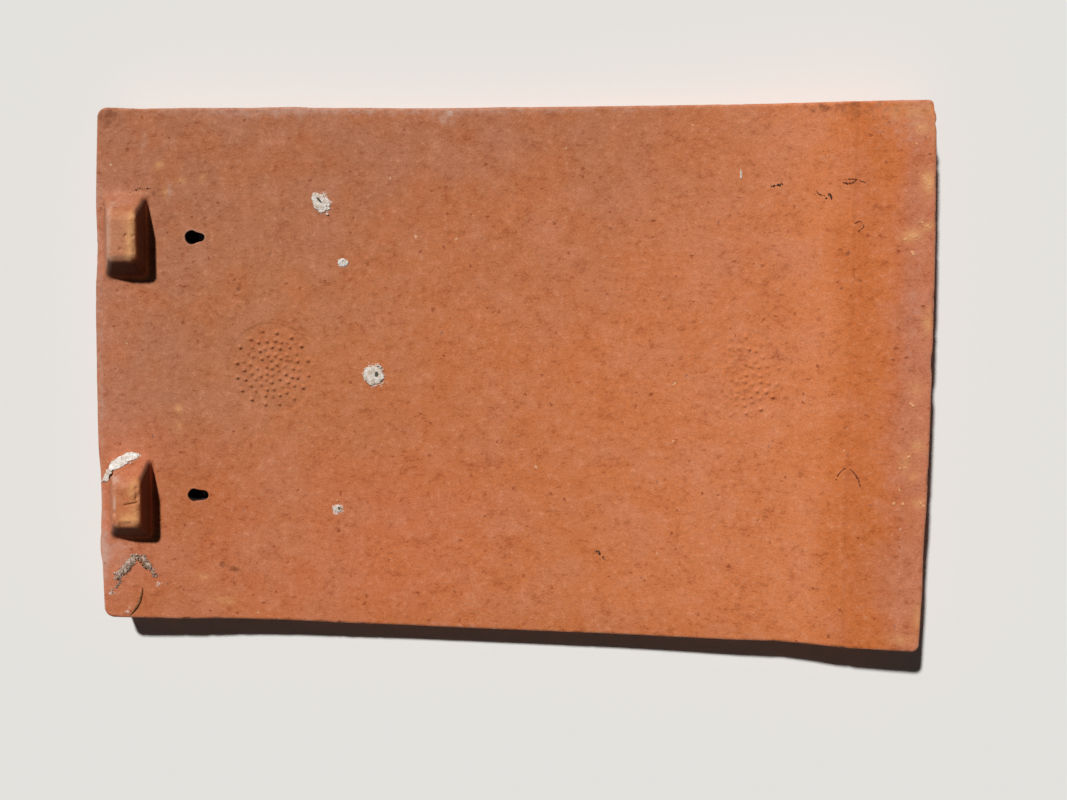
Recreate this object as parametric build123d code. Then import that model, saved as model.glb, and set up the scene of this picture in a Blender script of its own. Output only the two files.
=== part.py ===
"""A pressed clay plain roof tile, lying on its weather face with its underside up.

+X runs from the head, where the nibs are, to the tail. +Y is across the tile and +Z points out of the
underside. The origin is the middle of the weather face, which is the lowest point of the tile as it
lies on a level floor. All sizes are millimetres.
"""

from build123d import *

import os
from math import atan2, cos, degrees, radians, sin, sqrt, tan

# Overall sizes of the fired tile
LENGTH = 270.0
WIDTH = 170.0
THICKNESS = 12.0

# Camber: how far the head and the tail stand above the middle of the weather face
CAMBER_RISE = 4.5

# Plan: the ends are crowned and the long edges are drawn in a little
HEAD_CROWN = 1.6
TAIL_CROWN = 1.4
EDGE_HOLLOW = 0.4
HEAD_CORNER_RADIUS = 3.5
TAIL_CORNER_RADIUS = 2.5

# Rounding along the rims of the two faces, smaller than the plan's corners
WEATHER_RIM_RADIUS = 1.8
UNDER_RIM_RADIUS = 1.0

# Tail pad: the flat strip on the underside that bears on the tile below
PAD_LENGTH = 24.0
PAD_RISE = 1.5
RAMP_LENGTH = 20.0

# Groove across the underside at the foot of the pad
GROOVE_WIDTH = 3.0
GROOVE_DEPTH = 0.3

# Nibs that hook over the batten, square to the underside and drafted so that they leave the mould
NIB_SPACING = 86.6
NIB_SHIFT = -1.2
NIB_HEIGHT = 11.5
NIB_LENGTH = 14.5
NIB_WIDTH = 26.6
BATTEN_FACE_FROM_HEAD = 18.5
BATTEN_FACE_DRAFT = 1.0
NIB_HEAD_DRAFT = 24.0
NIB_SIDE_DRAFT = 28.0
NIB_EDGE_RADIUS = 1.8
NIB_ROOT_RADIUS = 1.0

# Nail holes: a round hole with a narrower slot that runs towards the tail
NAIL_HOLE_SPACING = 85.2
NAIL_HOLE_FROM_HEAD = 33.0
NAIL_HOLE_DIAMETER = 4.4
NAIL_SLOT_WIDTH = 2.6
KEYHOLE_LENGTH = 6.6

# Two round keying pads, sunk a little into the underside on its centre line
KEY_PAD_FROM_HEAD = (59.5, 211.5)
KEY_PAD_DIAMETER = 30.0
KEY_PAD_DEPTH = 0.25

# How far cutters and extrusions run past the faces that they cut
OVERRUN = 20.0

HALF_LENGTH = LENGTH / 2
HALF_WIDTH = WIDTH / 2

# Both faces are arcs about one line, which stands above the middle of the tile
WEATHER_RADIUS = (HALF_LENGTH**2 + CAMBER_RISE**2) / (2 * CAMBER_RISE)
UNDER_RADIUS = WEATHER_RADIUS - THICKNESS


def arc_point(radius, x):
    """Gives the point at x on the arc of that radius about the camber's centre."""
    return x, WEATHER_RADIUS - sqrt(radius**2 - x**2)


def arc_slope(radius, x):
    """Gives the angle of that arc at x, in degrees above the level."""
    return degrees(atan2(x, sqrt(radius**2 - x**2)))


def step_along(point, angle, distance):
    """Steps from a point of the profile by a distance, at an angle in degrees."""
    return point[0] + distance * cos(radians(angle)), point[1] + distance * sin(radians(angle))


def under_plane(x):
    """Gives the plane that touches the underside's arc at x, with its normal out of the tile."""
    point = arc_point(UNDER_RADIUS, x)
    angle = radians(arc_slope(UNDER_RADIUS, x))
    normal = (-sin(angle), 0, cos(angle))
    return Plane(origin=(point[0], 0, point[1]), x_dir=(cos(angle), 0, sin(angle)), z_dir=normal)


# The pad's flat is tangent to the camber under its middle, lifted by the pad's rise
PAD_MIDDLE_X = HALF_LENGTH - PAD_LENGTH / 2
PAD_ANGLE = arc_slope(UNDER_RADIUS, PAD_MIDDLE_X)
PAD_MIDDLE = arc_point(UNDER_RADIUS - PAD_RISE, PAD_MIDDLE_X)
PAD_START = step_along(PAD_MIDDLE, PAD_ANGLE, -PAD_LENGTH / 2)
RAMP_START = arc_point(UNDER_RADIUS, PAD_START[0] - RAMP_LENGTH)

BATTEN_FACE_X = BATTEN_FACE_FROM_HEAD - HALF_LENGTH
NAIL_HOLE_X = NAIL_HOLE_FROM_HEAD - HALF_LENGTH


def slab_profile():
    """Draws the long section: the cambered faces, the ramp and the flat pad at the tail."""
    head_x = -HALF_LENGTH - OVERRUN
    tail_x = HALF_LENGTH + OVERRUN
    weather_head = arc_point(WEATHER_RADIUS, head_x)
    weather_tail = arc_point(WEATHER_RADIUS, tail_x)
    under_head = arc_point(UNDER_RADIUS, head_x)
    under_middle = arc_point(UNDER_RADIUS, (head_x + RAMP_START[0]) / 2)
    ramp_angle = arc_slope(UNDER_RADIUS, RAMP_START[0])
    pad_end = step_along(PAD_MIDDLE, PAD_ANGLE, PAD_LENGTH / 2 + OVERRUN)
    ramp_tangents = [step_along((0, 0), PAD_ANGLE, -1), step_along((0, 0), ramp_angle, -1)]
    return make_face(
        [
            ThreePointArc(weather_head, (0, 0), weather_tail),
            Line(weather_tail, pad_end),
            Line(pad_end, PAD_START),
            Spline(PAD_START, RAMP_START, tangents=ramp_tangents),
            ThreePointArc(RAMP_START, under_middle, under_head),
            Line(under_head, weather_head),
        ]
    )


def plan_outline():
    """Draws the plan: crowned head and tail, drawn-in long edges and rounded corners."""
    head_x = HEAD_CROWN - HALF_LENGTH
    tail_x = HALF_LENGTH - TAIL_CROWN
    waist_y = HALF_WIDTH - EDGE_HOLLOW
    outline = make_face(
        [
            ThreePointArc((head_x, -HALF_WIDTH), (-HALF_LENGTH, 0), (head_x, HALF_WIDTH)),
            ThreePointArc((head_x, HALF_WIDTH), (0, waist_y), (tail_x, HALF_WIDTH)),
            ThreePointArc((tail_x, HALF_WIDTH), (HALF_LENGTH, 0), (tail_x, -HALF_WIDTH)),
            ThreePointArc((tail_x, -HALF_WIDTH), (0, -waist_y), (head_x, -HALF_WIDTH)),
        ]
    )
    outline = fillet(outline.vertices().group_by(Axis.X)[0], HEAD_CORNER_RADIUS)
    return fillet(outline.vertices().group_by(Axis.X)[-1], TAIL_CORNER_RADIUS)


def rim(body, side):
    """Finds the edges between the walls and the underside, at side 1, or the weather face, at side -1."""
    wall_edges = body.faces().filter_by(lambda face: abs(face.normal_at().Z) < 0.1).edges()
    faces = body.faces().filter_by(lambda face: side * face.normal_at().Z > 0.9)
    return ShapeList(edge for edge in faces.edges() if edge in wall_edges)


def slab():
    """Makes the cambered slab: the long section carried across, cut to the plan, rims rounded."""
    reach = HALF_WIDTH + OVERRUN
    section = Plane.XZ.offset(-reach) * slab_profile()
    plan = Plane.XY.offset(-OVERRUN) * plan_outline()
    height = THICKNESS + CAMBER_RISE + PAD_RISE + 2 * OVERRUN
    body = extrude(section, amount=2 * reach) & extrude(plan, amount=height)
    body = fillet(rim(body, -1), WEATHER_RIM_RADIUS)
    return fillet(rim(body, 1), UNDER_RIM_RADIUS)


def nib():
    """Makes one nib about y = 0: two drafted outlines crossed, edges rounded, set on the underside."""
    root_z = -THICKNESS / 2

    def leaning(foot, draft, z):
        """Gives where a face with that draft stands at height z, leaning towards -x or -y."""
        return foot - z * tan(radians(draft))

    side = Polyline(
        (leaning(-NIB_LENGTH, -NIB_HEAD_DRAFT, root_z), root_z),
        (leaning(0, BATTEN_FACE_DRAFT, root_z), root_z),
        (leaning(0, BATTEN_FACE_DRAFT, NIB_HEIGHT), NIB_HEIGHT),
        (leaning(-NIB_LENGTH, -NIB_HEAD_DRAFT, NIB_HEIGHT), NIB_HEIGHT),
        close=True,
    )
    front = Polyline(
        (leaning(-NIB_WIDTH / 2, -NIB_SIDE_DRAFT, root_z), root_z),
        (leaning(NIB_WIDTH / 2, NIB_SIDE_DRAFT, root_z), root_z),
        (leaning(NIB_WIDTH / 2, NIB_SIDE_DRAFT, NIB_HEIGHT), NIB_HEIGHT),
        (leaning(-NIB_WIDTH / 2, -NIB_SIDE_DRAFT, NIB_HEIGHT), NIB_HEIGHT),
        close=True,
    )
    along_tile = Plane.XZ.offset(-NIB_WIDTH) * make_face(side)
    across_tile = Plane.YZ.offset(-2 * NIB_LENGTH) * make_face(front)
    block = extrude(along_tile, amount=2 * NIB_WIDTH) & extrude(across_tile, amount=3 * NIB_LENGTH)
    above_root = block.edges().filter_by(lambda edge: edge.center().Z > root_z + NIB_EDGE_RADIUS)
    return under_plane(BATTEN_FACE_X) * fillet(above_root, NIB_EDGE_RADIUS)


def nail_hole_cutter():
    """Makes the keyhole cutter about its round part's centre."""
    slot_reach = KEYHOLE_LENGTH - NAIL_HOLE_DIAMETER / 2 - NAIL_SLOT_WIDTH / 2
    slot = Pos(slot_reach / 2, 0) * SlotCenterToCenter(slot_reach, NAIL_SLOT_WIDTH)
    keyhole = Circle(NAIL_HOLE_DIAMETER / 2) + slot
    return extrude(keyhole, amount=THICKNESS + OVERRUN, both=True)


def pad_groove_cutter():
    """Makes the round bar that cuts the groove at the foot of the tail pad."""
    radius = (GROOVE_WIDTH**2 / 4 + GROOVE_DEPTH**2) / (2 * GROOVE_DEPTH)
    centre = step_along(PAD_START, PAD_ANGLE + 90, radius - GROOVE_DEPTH)
    across = Plane(origin=(centre[0], 0, centre[1]), x_dir=(1, 0, 0), z_dir=(0, 1, 0))
    return across * Cylinder(radius, WIDTH + OVERRUN)


def key_pad_cutter(from_head):
    """Makes the disc that sinks one keying pad, standing on the pad's floor."""
    floor = under_plane(from_head - HALF_LENGTH).offset(-KEY_PAD_DEPTH)
    return extrude(floor * Circle(KEY_PAD_DIAMETER / 2), amount=OVERRUN)


def tile():
    """Makes the whole tile: the slab takes its nibs, and then the holes and grooves are cut."""
    body = slab()
    for side in (-1, 1):
        hook = Pos(0, NIB_SHIFT + side * NIB_SPACING / 2, 0) * nib()
        joined = body + hook
        body = fillet(new_edges(body, hook, combined=joined), NIB_ROOT_RADIUS)
    for side in (-1, 1):
        body -= Pos(NAIL_HOLE_X, side * NAIL_HOLE_SPACING / 2, 0) * nail_hole_cutter()
    body -= pad_groove_cutter()
    for from_head in KEY_PAD_FROM_HEAD:
        body -= key_pad_cutter(from_head)
    return body


os.makedirs("parts", exist_ok=True)
roof_tile = tile()
export_step(roof_tile, "parts/roof_tile.step")
print("roof_tile", round(roof_tile.volume), "mm3", roof_tile.bounding_box().size)
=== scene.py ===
"""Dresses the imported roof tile: one pressed and fired clay tile with its relief, wear, lime and mortar.

The frame is the part's own: +X runs from the head with the nibs to the tail, +Y across the tile and +Z out
of the underside, with the origin in the middle of the weather face. Shapes are worked out in millimetres
and written into the meshes in metres.
"""

import logging
from dataclasses import dataclass, field
from enum import Enum
from itertools import product, starmap
from typing import Any, Callable, Union

import bpy
import numpy as np
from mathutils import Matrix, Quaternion, Vector


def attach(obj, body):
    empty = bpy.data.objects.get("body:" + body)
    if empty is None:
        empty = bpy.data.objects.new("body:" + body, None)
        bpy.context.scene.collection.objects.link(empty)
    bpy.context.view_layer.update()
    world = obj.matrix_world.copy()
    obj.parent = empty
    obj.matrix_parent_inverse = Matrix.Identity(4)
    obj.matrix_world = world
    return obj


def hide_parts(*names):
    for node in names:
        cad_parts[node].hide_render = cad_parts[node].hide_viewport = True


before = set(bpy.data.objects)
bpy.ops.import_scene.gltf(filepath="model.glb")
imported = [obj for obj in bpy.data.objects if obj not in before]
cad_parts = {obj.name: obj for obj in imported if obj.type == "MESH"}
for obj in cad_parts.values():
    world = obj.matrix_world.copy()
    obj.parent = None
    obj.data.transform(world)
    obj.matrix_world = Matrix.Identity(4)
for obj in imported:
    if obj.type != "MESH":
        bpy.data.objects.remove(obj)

LOG = logging.getLogger("roof_tile")
METRES = 0.001
BODY = "root"
SHEEN = 0.3

Array = np.ndarray
Pair = tuple[Array, Array]
Spot = tuple[float, float]
Bend = tuple[float, ...]  # x and y of a curve's start, of the point that it leans to and of its end
Colour = tuple[float, float, float, float]
Socket = bpy.types.NodeSocket
Piece = bpy.types.Object
Number = Union["Field", float]


def smooth_step(low: float, high: float, value: Array) -> Array:
    """Rises from 0 at low to 1 at high along 3t squared minus 2t cubed."""
    t = np.clip((value - low) / (high - low), 0.0, 1.0)
    return t * t * (3.0 - 2.0 * t)


def graded(start: float, *stops: Spot) -> Array:
    """Lays grid lines, evenly between two stops.

    Args:
        start: the first line.
        stops: pairs of a line that must be there and the widest step on the way to it.

    Returns:
        The places of all lines, rising.
    """
    lines = [np.array([start])]
    here = start
    for stop, step in stops:
        count = max(1, int(np.ceil((stop - here) / step - 1e-6)))
        lines.append(np.linspace(here, stop, count + 1)[1:])
        here = stop
    return np.concatenate(lines)


def ways(angle: Array) -> Array:
    """Gives the unit direction at each angle in radians: its cosine and its sine."""
    return np.stack([np.cos(angle), np.sin(angle)], axis=-1)


def round_angles(count: int) -> Array:
    """Gives so many angles, evenly once round, in radians."""
    return np.arange(count) / count * 2 * np.pi


def rounding(radius: float, steps: int) -> Pair:
    """Follows a quarter circle: the radius times 1 less the sine, and times 1 less the cosine."""
    angle = np.linspace(0, np.pi / 2, steps)
    return radius * (1 - np.sin(angle)), radius * (1 - np.cos(angle))


def read_mesh(data: Any, name: str, width: int = 1) -> Array:
    """Reads a property of a mesh's points, with so many numbers for each point."""
    values = np.empty(len(data) * width)
    data.foreach_get(name, values)
    return values if width == 1 else values.reshape(-1, width)


@dataclass(frozen=True)
class ClayNoise:
    """Smooth seeded noise in space: random values on a lattice, blended with smooth weights."""

    seed: int
    size: int = 48

    def at(self, points: Array, wavelength: float) -> Array:
        """Blends the eight lattice values round each point with the weights 3t squared minus 2t cubed.

        Args:
            points: places, one row each.
            wavelength: the lattice's step.

        Returns:
            A value from -1 to 1 for each place.
        """
        rng = np.random.default_rng(self.seed)
        lattice = rng.uniform(-1.0, 1.0, (self.size,) * 3)
        cell = points / wavelength + rng.uniform(0.0, self.size, 3)
        base = np.floor(cell).astype(int)
        weight = smooth_step(0.0, 1.0, cell - base)
        total = np.zeros(len(points))
        for corner in product((0, 1), repeat=3):
            index = (base + np.array(corner)) % self.size
            share = np.where(corner, weight, 1.0 - weight).prod(axis=1)
            total += share * lattice[index[:, 0], index[:, 1], index[:, 2]]
        return total

    def layered(self, points: Array, wavelength: float, layers: int) -> Array:
        """Adds layers of noise, each with half the wavelength and half the height of the last.

        Args:
            points: places, one row each.
            wavelength: the first layer's wavelength.
            layers: how many layers to add.

        Returns:
            The sum for each place, scaled back to about -1 to 1.
        """
        total = np.zeros(len(points))
        for layer in range(layers):
            total += ClayNoise(self.seed + 17 * layer).at(points, wavelength / 2**layer) / 2**layer
        return total / (2.0 - 0.5 ** (layers - 1))


class Edge(Enum):
    """The four edges of the tile's plan."""

    HEAD = "head"
    TAIL = "tail"
    LEFT = "left"
    RIGHT = "right"


@dataclass(frozen=True)
class EdgeWave:
    """A place along an edge where the clay stands out, or in for a negative amount, in millimetres."""

    edge: Edge
    middle: float
    reach: float
    amount: float


EDGE_WAVES = tuple(
    EdgeWave(edge, *wave)
    for edge, waves in {
        Edge.LEFT: ((-117, 12, -0.25), (-71, 8, 0.3), (-22, 18, -0.2), (112, 26, 0.1)),
        Edge.RIGHT: ((-117, 12, 0.5), (-79, 20, -0.4), (4, 30, 0.2), (92, 14, -0.3), (118, 6, 0.3)),
        Edge.HEAD: ((39, 10, -0.45), (8, 9, 0.4), (-41, 10, -0.5), (-61, 4, 0.5)),
        Edge.TAIL: ((5.5, 3, -0.4), (-52, 9, -0.25)),
    }.items()
    for wave in waves
)


@dataclass(frozen=True)
class TileForm:
    """The tile's plan and section in millimetres, with the part's own sizes."""

    length: float = 270.0
    width: float = 170.0
    thickness: float = 12.0
    camber_rise: float = 4.5
    head_crown: float = 1.6
    tail_crown: float = 1.4
    edge_hollow: float = 0.4
    head_corner: float = 3.5
    tail_corner: float = 2.5
    weather_rim: float = 1.8
    under_rim: float = 1.0
    pad_length: float = 24.0
    pad_rise: float = 1.5
    ramp_length: float = 20.0
    groove_width: float = 3.0
    groove_depth: float = 0.3
    end_blend: Spot = (118.0, 133.0)
    side_blend: Spot = (66.0, 83.0)
    waves: tuple[EdgeWave, ...] = EDGE_WAVES

    @property
    def weather_radius(self) -> float:
        """Radius of the weather face's arc, from half the length and the rise."""
        return ((self.length / 2) ** 2 + self.camber_rise**2) / (2 * self.camber_rise)

    def arc(self, x: Array, depth: float) -> Array:
        """Height at x of the arc that lies so far above the weather face's arc, about the same centre."""
        return self.weather_radius - np.sqrt((self.weather_radius - depth) ** 2 - x**2)

    def arc_slope(self, x: float, depth: float) -> float:
        """Slope of that arc at x: x over the centre's height above it."""
        return x / np.sqrt((self.weather_radius - depth) ** 2 - x**2)

    def weather_height(self, x: Array) -> Array:
        """Height of the weather face at x."""
        return self.arc(x, 0.0)

    def under_height(self, x: Array) -> Array:
        """Height of the underside: the arc, a cubic ramp up to the flat tail pad, less the groove.

        Args:
            x: places along the tile.

        Returns:
            The heights.
        """
        middle = self.length / 2 - self.pad_length / 2
        slope = self.arc_slope(middle, self.thickness)
        angle = np.arctan(slope)
        middle_z = self.arc(middle, self.thickness + self.pad_rise)
        start = middle - np.cos(angle) * self.pad_length / 2
        foot = start - self.ramp_length
        t = np.clip((x - foot) / self.ramp_length, 0.0, 1.0)
        rise = (
            (2 * t**3 - 3 * t**2 + 1) * self.arc(foot, self.thickness)
            + (t**3 - 2 * t**2 + t) * self.ramp_length * self.arc_slope(foot, self.thickness)
            + (3 * t**2 - 2 * t**3) * (middle_z + (start - middle) * slope)
            + (t**3 - t**2) * self.ramp_length * slope
        )
        flat = middle_z + (x - middle) * slope
        height = np.where(x < foot, self.arc(x, self.thickness), np.where(x < start, rise, flat))
        across = np.clip(2 * (x - start) / self.groove_width, -1.0, 1.0)
        return height - self.groove_depth * (1.0 - across**2) ** 2

    def edge(self, edge: Edge, along: Array) -> Array:
        """Distance of an edge from the middle line: its bow and its waves, within the outer size.

        Args:
            edge: which edge.
            along: places along it, x for the long edges and y for the ends.

        Returns:
            The distances.
        """
        if edge in (Edge.LEFT, Edge.RIGHT):
            full = self.width / 2
            reach = full - self.edge_hollow * (1.0 - (2 * along / self.length) ** 2)
        else:
            full = self.length / 2
            crown = self.head_crown if edge is Edge.HEAD else self.tail_crown
            reach = full - crown * (2 * along / self.width) ** 2
        for wave in self.waves:
            if wave.edge is edge:
                reach = reach + wave.amount * np.exp(-(((along - wave.middle) / wave.reach) ** 4))
        return np.minimum(reach, full)

    def place(self, x: Array, y: Array, inset: float) -> Pair:
        """Carries points of a plain rectangle to the plan, drawn in by an inset.

        The square at each corner is bent to a quarter disc: each coordinate is scaled by the root of 1
        less half the other's square. Near the edges the points then follow the edges' bows and waves.

        Args:
            x: places along the rectangle.
            y: places across it, of the same shape.
            inset: how far the rectangle and the plan are drawn in.

        Returns:
            The places along and across the tile.
        """
        half_x, half_y = self.length / 2 - inset, self.width / 2 - inset
        radius = np.where(x < 0, self.head_corner, self.tail_corner) - inset
        p = (np.abs(x) - half_x + radius) / radius
        q = (np.abs(y) - half_y + radius) / radius
        corner = (p > 0) & (q > 0)
        p_in = np.where(corner, p * np.sqrt(1 - np.clip(q, 0, 1) ** 2 / 2), p)
        q_in = np.where(corner, q * np.sqrt(1 - np.clip(p, 0, 1) ** 2 / 2), q)
        x_in = np.sign(x) * (p_in * radius + half_x - radius)
        y_in = np.sign(y) * (q_in * radius + half_y - radius)
        ends = np.where(x_in < 0, self.edge(Edge.HEAD, y_in), self.edge(Edge.TAIL, y_in))
        sides = np.where(y_in < 0, self.edge(Edge.RIGHT, x_in), self.edge(Edge.LEFT, x_in))
        bow_x = np.where(x_in < 0, -1.0, 1.0) * (ends - self.length / 2)
        bow_y = np.where(y_in < 0, -1.0, 1.0) * (sides - self.width / 2)
        return (
            x_in + bow_x * smooth_step(*self.end_blend, np.abs(x_in)),
            y_in + bow_y * smooth_step(*self.side_blend, np.abs(y_in)),
        )


class Shell:
    """Gathers the points and faces of one closed surface, with values per point for its masks."""

    def __init__(self, masks: tuple[str, ...]) -> None:
        """Starts an empty surface whose points carry a value for each named mask."""
        self.points: list[Array] = []
        self.values: dict[str, list[Array]] = {name: [] for name in masks}
        self.quads: list[Array] = []
        self.triangles: list[Array] = []
        self.count = 0

    def add(self, points: Array, **values: Array) -> Array:
        """Adds points.

        Args:
            points: an array whose last axis is x, y, z in millimetres.
            values: mask values by name, one for each point. A mask left out is 0.

        Returns:
            The points' numbers, in the shape of the array without its last axis.
        """
        shape = points.shape[:-1]
        flat = points.reshape(-1, 3)
        self.points.append(flat)
        for name, rows in self.values.items():
            rows.append(np.broadcast_to(values.get(name, 0.0), shape).reshape(-1).astype(float))
        numbers = np.arange(self.count, self.count + len(flat)).reshape(shape)
        self.count += len(flat)
        return numbers

    def sheet(self, numbers: Array, keep: Union[Array, None] = None, flip: bool = False) -> None:
        """Covers a grid of points with quads that face up where rows run along x and columns along y.

        Args:
            numbers: the points' numbers, rows by columns.
            keep: which cells to cover, or None for all.
            flip: turns the faces over.
        """
        cells = np.stack([numbers[:-1, :-1], numbers[1:, :-1], numbers[1:, 1:], numbers[:-1, 1:]], axis=-1)
        cells = cells.reshape(-1, 4) if keep is None else cells[keep]
        self.quads.append(cells[:, ::-1] if flip else cells)

    def rings(self, numbers: Array) -> None:
        """Joins closed rings of equal counts, listed from the inside out as seen from the outer side."""
        self.sheet(np.concatenate([numbers, numbers[:, :1]], axis=1))

    def fan(self, ring: Array, pole: int, flip: bool = False) -> None:
        """Closes a ring with triangles round one point."""
        following = np.roll(ring, -1)
        faces = np.stack([ring, following, np.full(len(ring), pole)], axis=-1)
        self.triangles.append(faces[:, ::-1] if flip else faces)

    def close(self, numbers: Array, first: int, last: int) -> None:
        """Joins rings and closes them with a point at each end.

        Args:
            numbers: the rings' point numbers, one row each.
            first: the number of the point that closes the first ring.
            last: the number of the point that closes the last ring.
        """
        self.rings(numbers)
        self.fan(numbers[0], first)
        self.fan(numbers[-1], last, flip=True)

    def bridge(self, outer: Pair, inner: Pair, flip: bool = False) -> None:
        """Fills the strip between two rings by merging their turns in order, one triangle for each step.

        Args:
            outer: the outer ring's numbers and turns, which rise from 0 to below 4.
            inner: the inner ring's numbers and turns.
            flip: turns the faces over.
        """
        outer_ring, outer_turn = outer
        inner_ring, inner_turn = inner
        steps = np.concatenate([np.append(outer_turn[1:], 4.0), np.append(inner_turn[1:], 4.0)])
        order = np.argsort(steps, kind="stable")
        on_outer = order < len(outer_ring)
        i = np.cumsum(on_outer) - on_outer
        j = np.cumsum(~on_outer) - ~on_outer
        here_out, here_in = outer_ring[i % len(outer_ring)], inner_ring[j % len(inner_ring)]
        next_out, next_in = outer_ring[(i + 1) % len(outer_ring)], inner_ring[(j + 1) % len(inner_ring)]
        faces = np.where(
            on_outer[:, None],
            np.stack([here_out, next_out, here_in], axis=-1),
            np.stack([here_in, here_out, next_in], axis=-1),
        )
        self.triangles.append(faces[:, ::-1] if flip else faces)

    def mesh(self, name: str) -> bpy.types.Mesh:
        """Makes the mesh in millimetres, without the points that no face uses.

        Args:
            name: the mesh's name.

        Returns:
            The mesh, with a float attribute for each mask.
        """
        points = np.concatenate(self.points)
        quads = np.concatenate(self.quads) if self.quads else np.zeros((0, 4), int)
        triangles = np.concatenate(self.triangles) if self.triangles else np.zeros((0, 3), int)
        used = np.unique(np.concatenate([quads.ravel(), triangles.ravel()]))
        renumber = np.zeros(self.count, int)
        renumber[used] = np.arange(len(used))
        faces = renumber[quads].tolist() + renumber[triangles].tolist()
        mesh = bpy.data.meshes.new(name)
        mesh.from_pydata(points[used].tolist(), [], faces)
        for mask, rows in self.values.items():
            layer = mesh.attributes.new(mask, "FLOAT", "POINT")
            layer.data.foreach_set("value", np.concatenate(rows)[used])
        mesh.polygons.foreach_set("use_smooth", np.ones(len(mesh.polygons), bool))
        mesh.update()
        return mesh


def block_ring(numbers: Array) -> Pair:
    """Lists the outer ring of a grid of points, once round from its low corner.

    Args:
        numbers: the grid's point numbers, x along the rows and y along the columns.

    Returns:
        The ring's numbers and its turns, with the corners at 0, 1, 2 and 3.
    """
    sides = (numbers[:, 0], numbers[-1, :], numbers[::-1, -1], numbers[0, ::-1])
    ring = np.concatenate([side[:-1] for side in sides])
    turns = [k + np.arange(len(side) - 1) / (len(side) - 1) for k, side in enumerate(sides)]
    return ring, np.concatenate(turns)


def rounded_ring(low: Spot, high: Spot, radius: float, arc: int, sides: tuple[int, int]) -> Pair:
    """Draws a rectangle with round corners, from the middle of its low corner once round.

    Each side is half an arc, a straight run and half an arc, and its turn is the share of the side
    that lies behind the point.

    Args:
        low: the rectangle's low corner.
        high: its high corner.
        radius: the corners' radius.
        arc: how many steps half an arc has.
        sides: how many steps the straight runs along the first and the second axis have.

    Returns:
        The points, one row each, and their turns.
    """
    spans = ((low[0] + radius, high[0] - radius), (low[1] + radius, high[1] - radius))
    centres = np.array([(spans[0][i], spans[1][j]) for i, j in ((0, 0), (1, 0), (1, 1), (0, 1))])
    points, turns = [], []
    for k in range(4):
        start = np.radians(225 + 90 * k)
        here, there = centres[k], centres[(k + 1) % 4]
        swing = np.linspace(0, np.pi / 4, arc, endpoint=False)
        first = here + radius * ways(start + swing)
        square = start + np.pi / 4
        foot = ways(square) * radius
        run = here + foot + (there - here) * np.linspace(0, 1, sides[k % 2], endpoint=False)[:, None]
        second = there + radius * ways(square + swing)
        side = np.concatenate([first, run, second])
        way = (there - here) / np.linalg.norm(there - here)
        last = there + radius * ways(start + np.pi / 2)
        travelled = (side - first[0]) @ way
        points.append(side)
        turns.append(k + travelled / ((last - first[0]) @ way))
    return np.concatenate(points), np.concatenate(turns)


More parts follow.
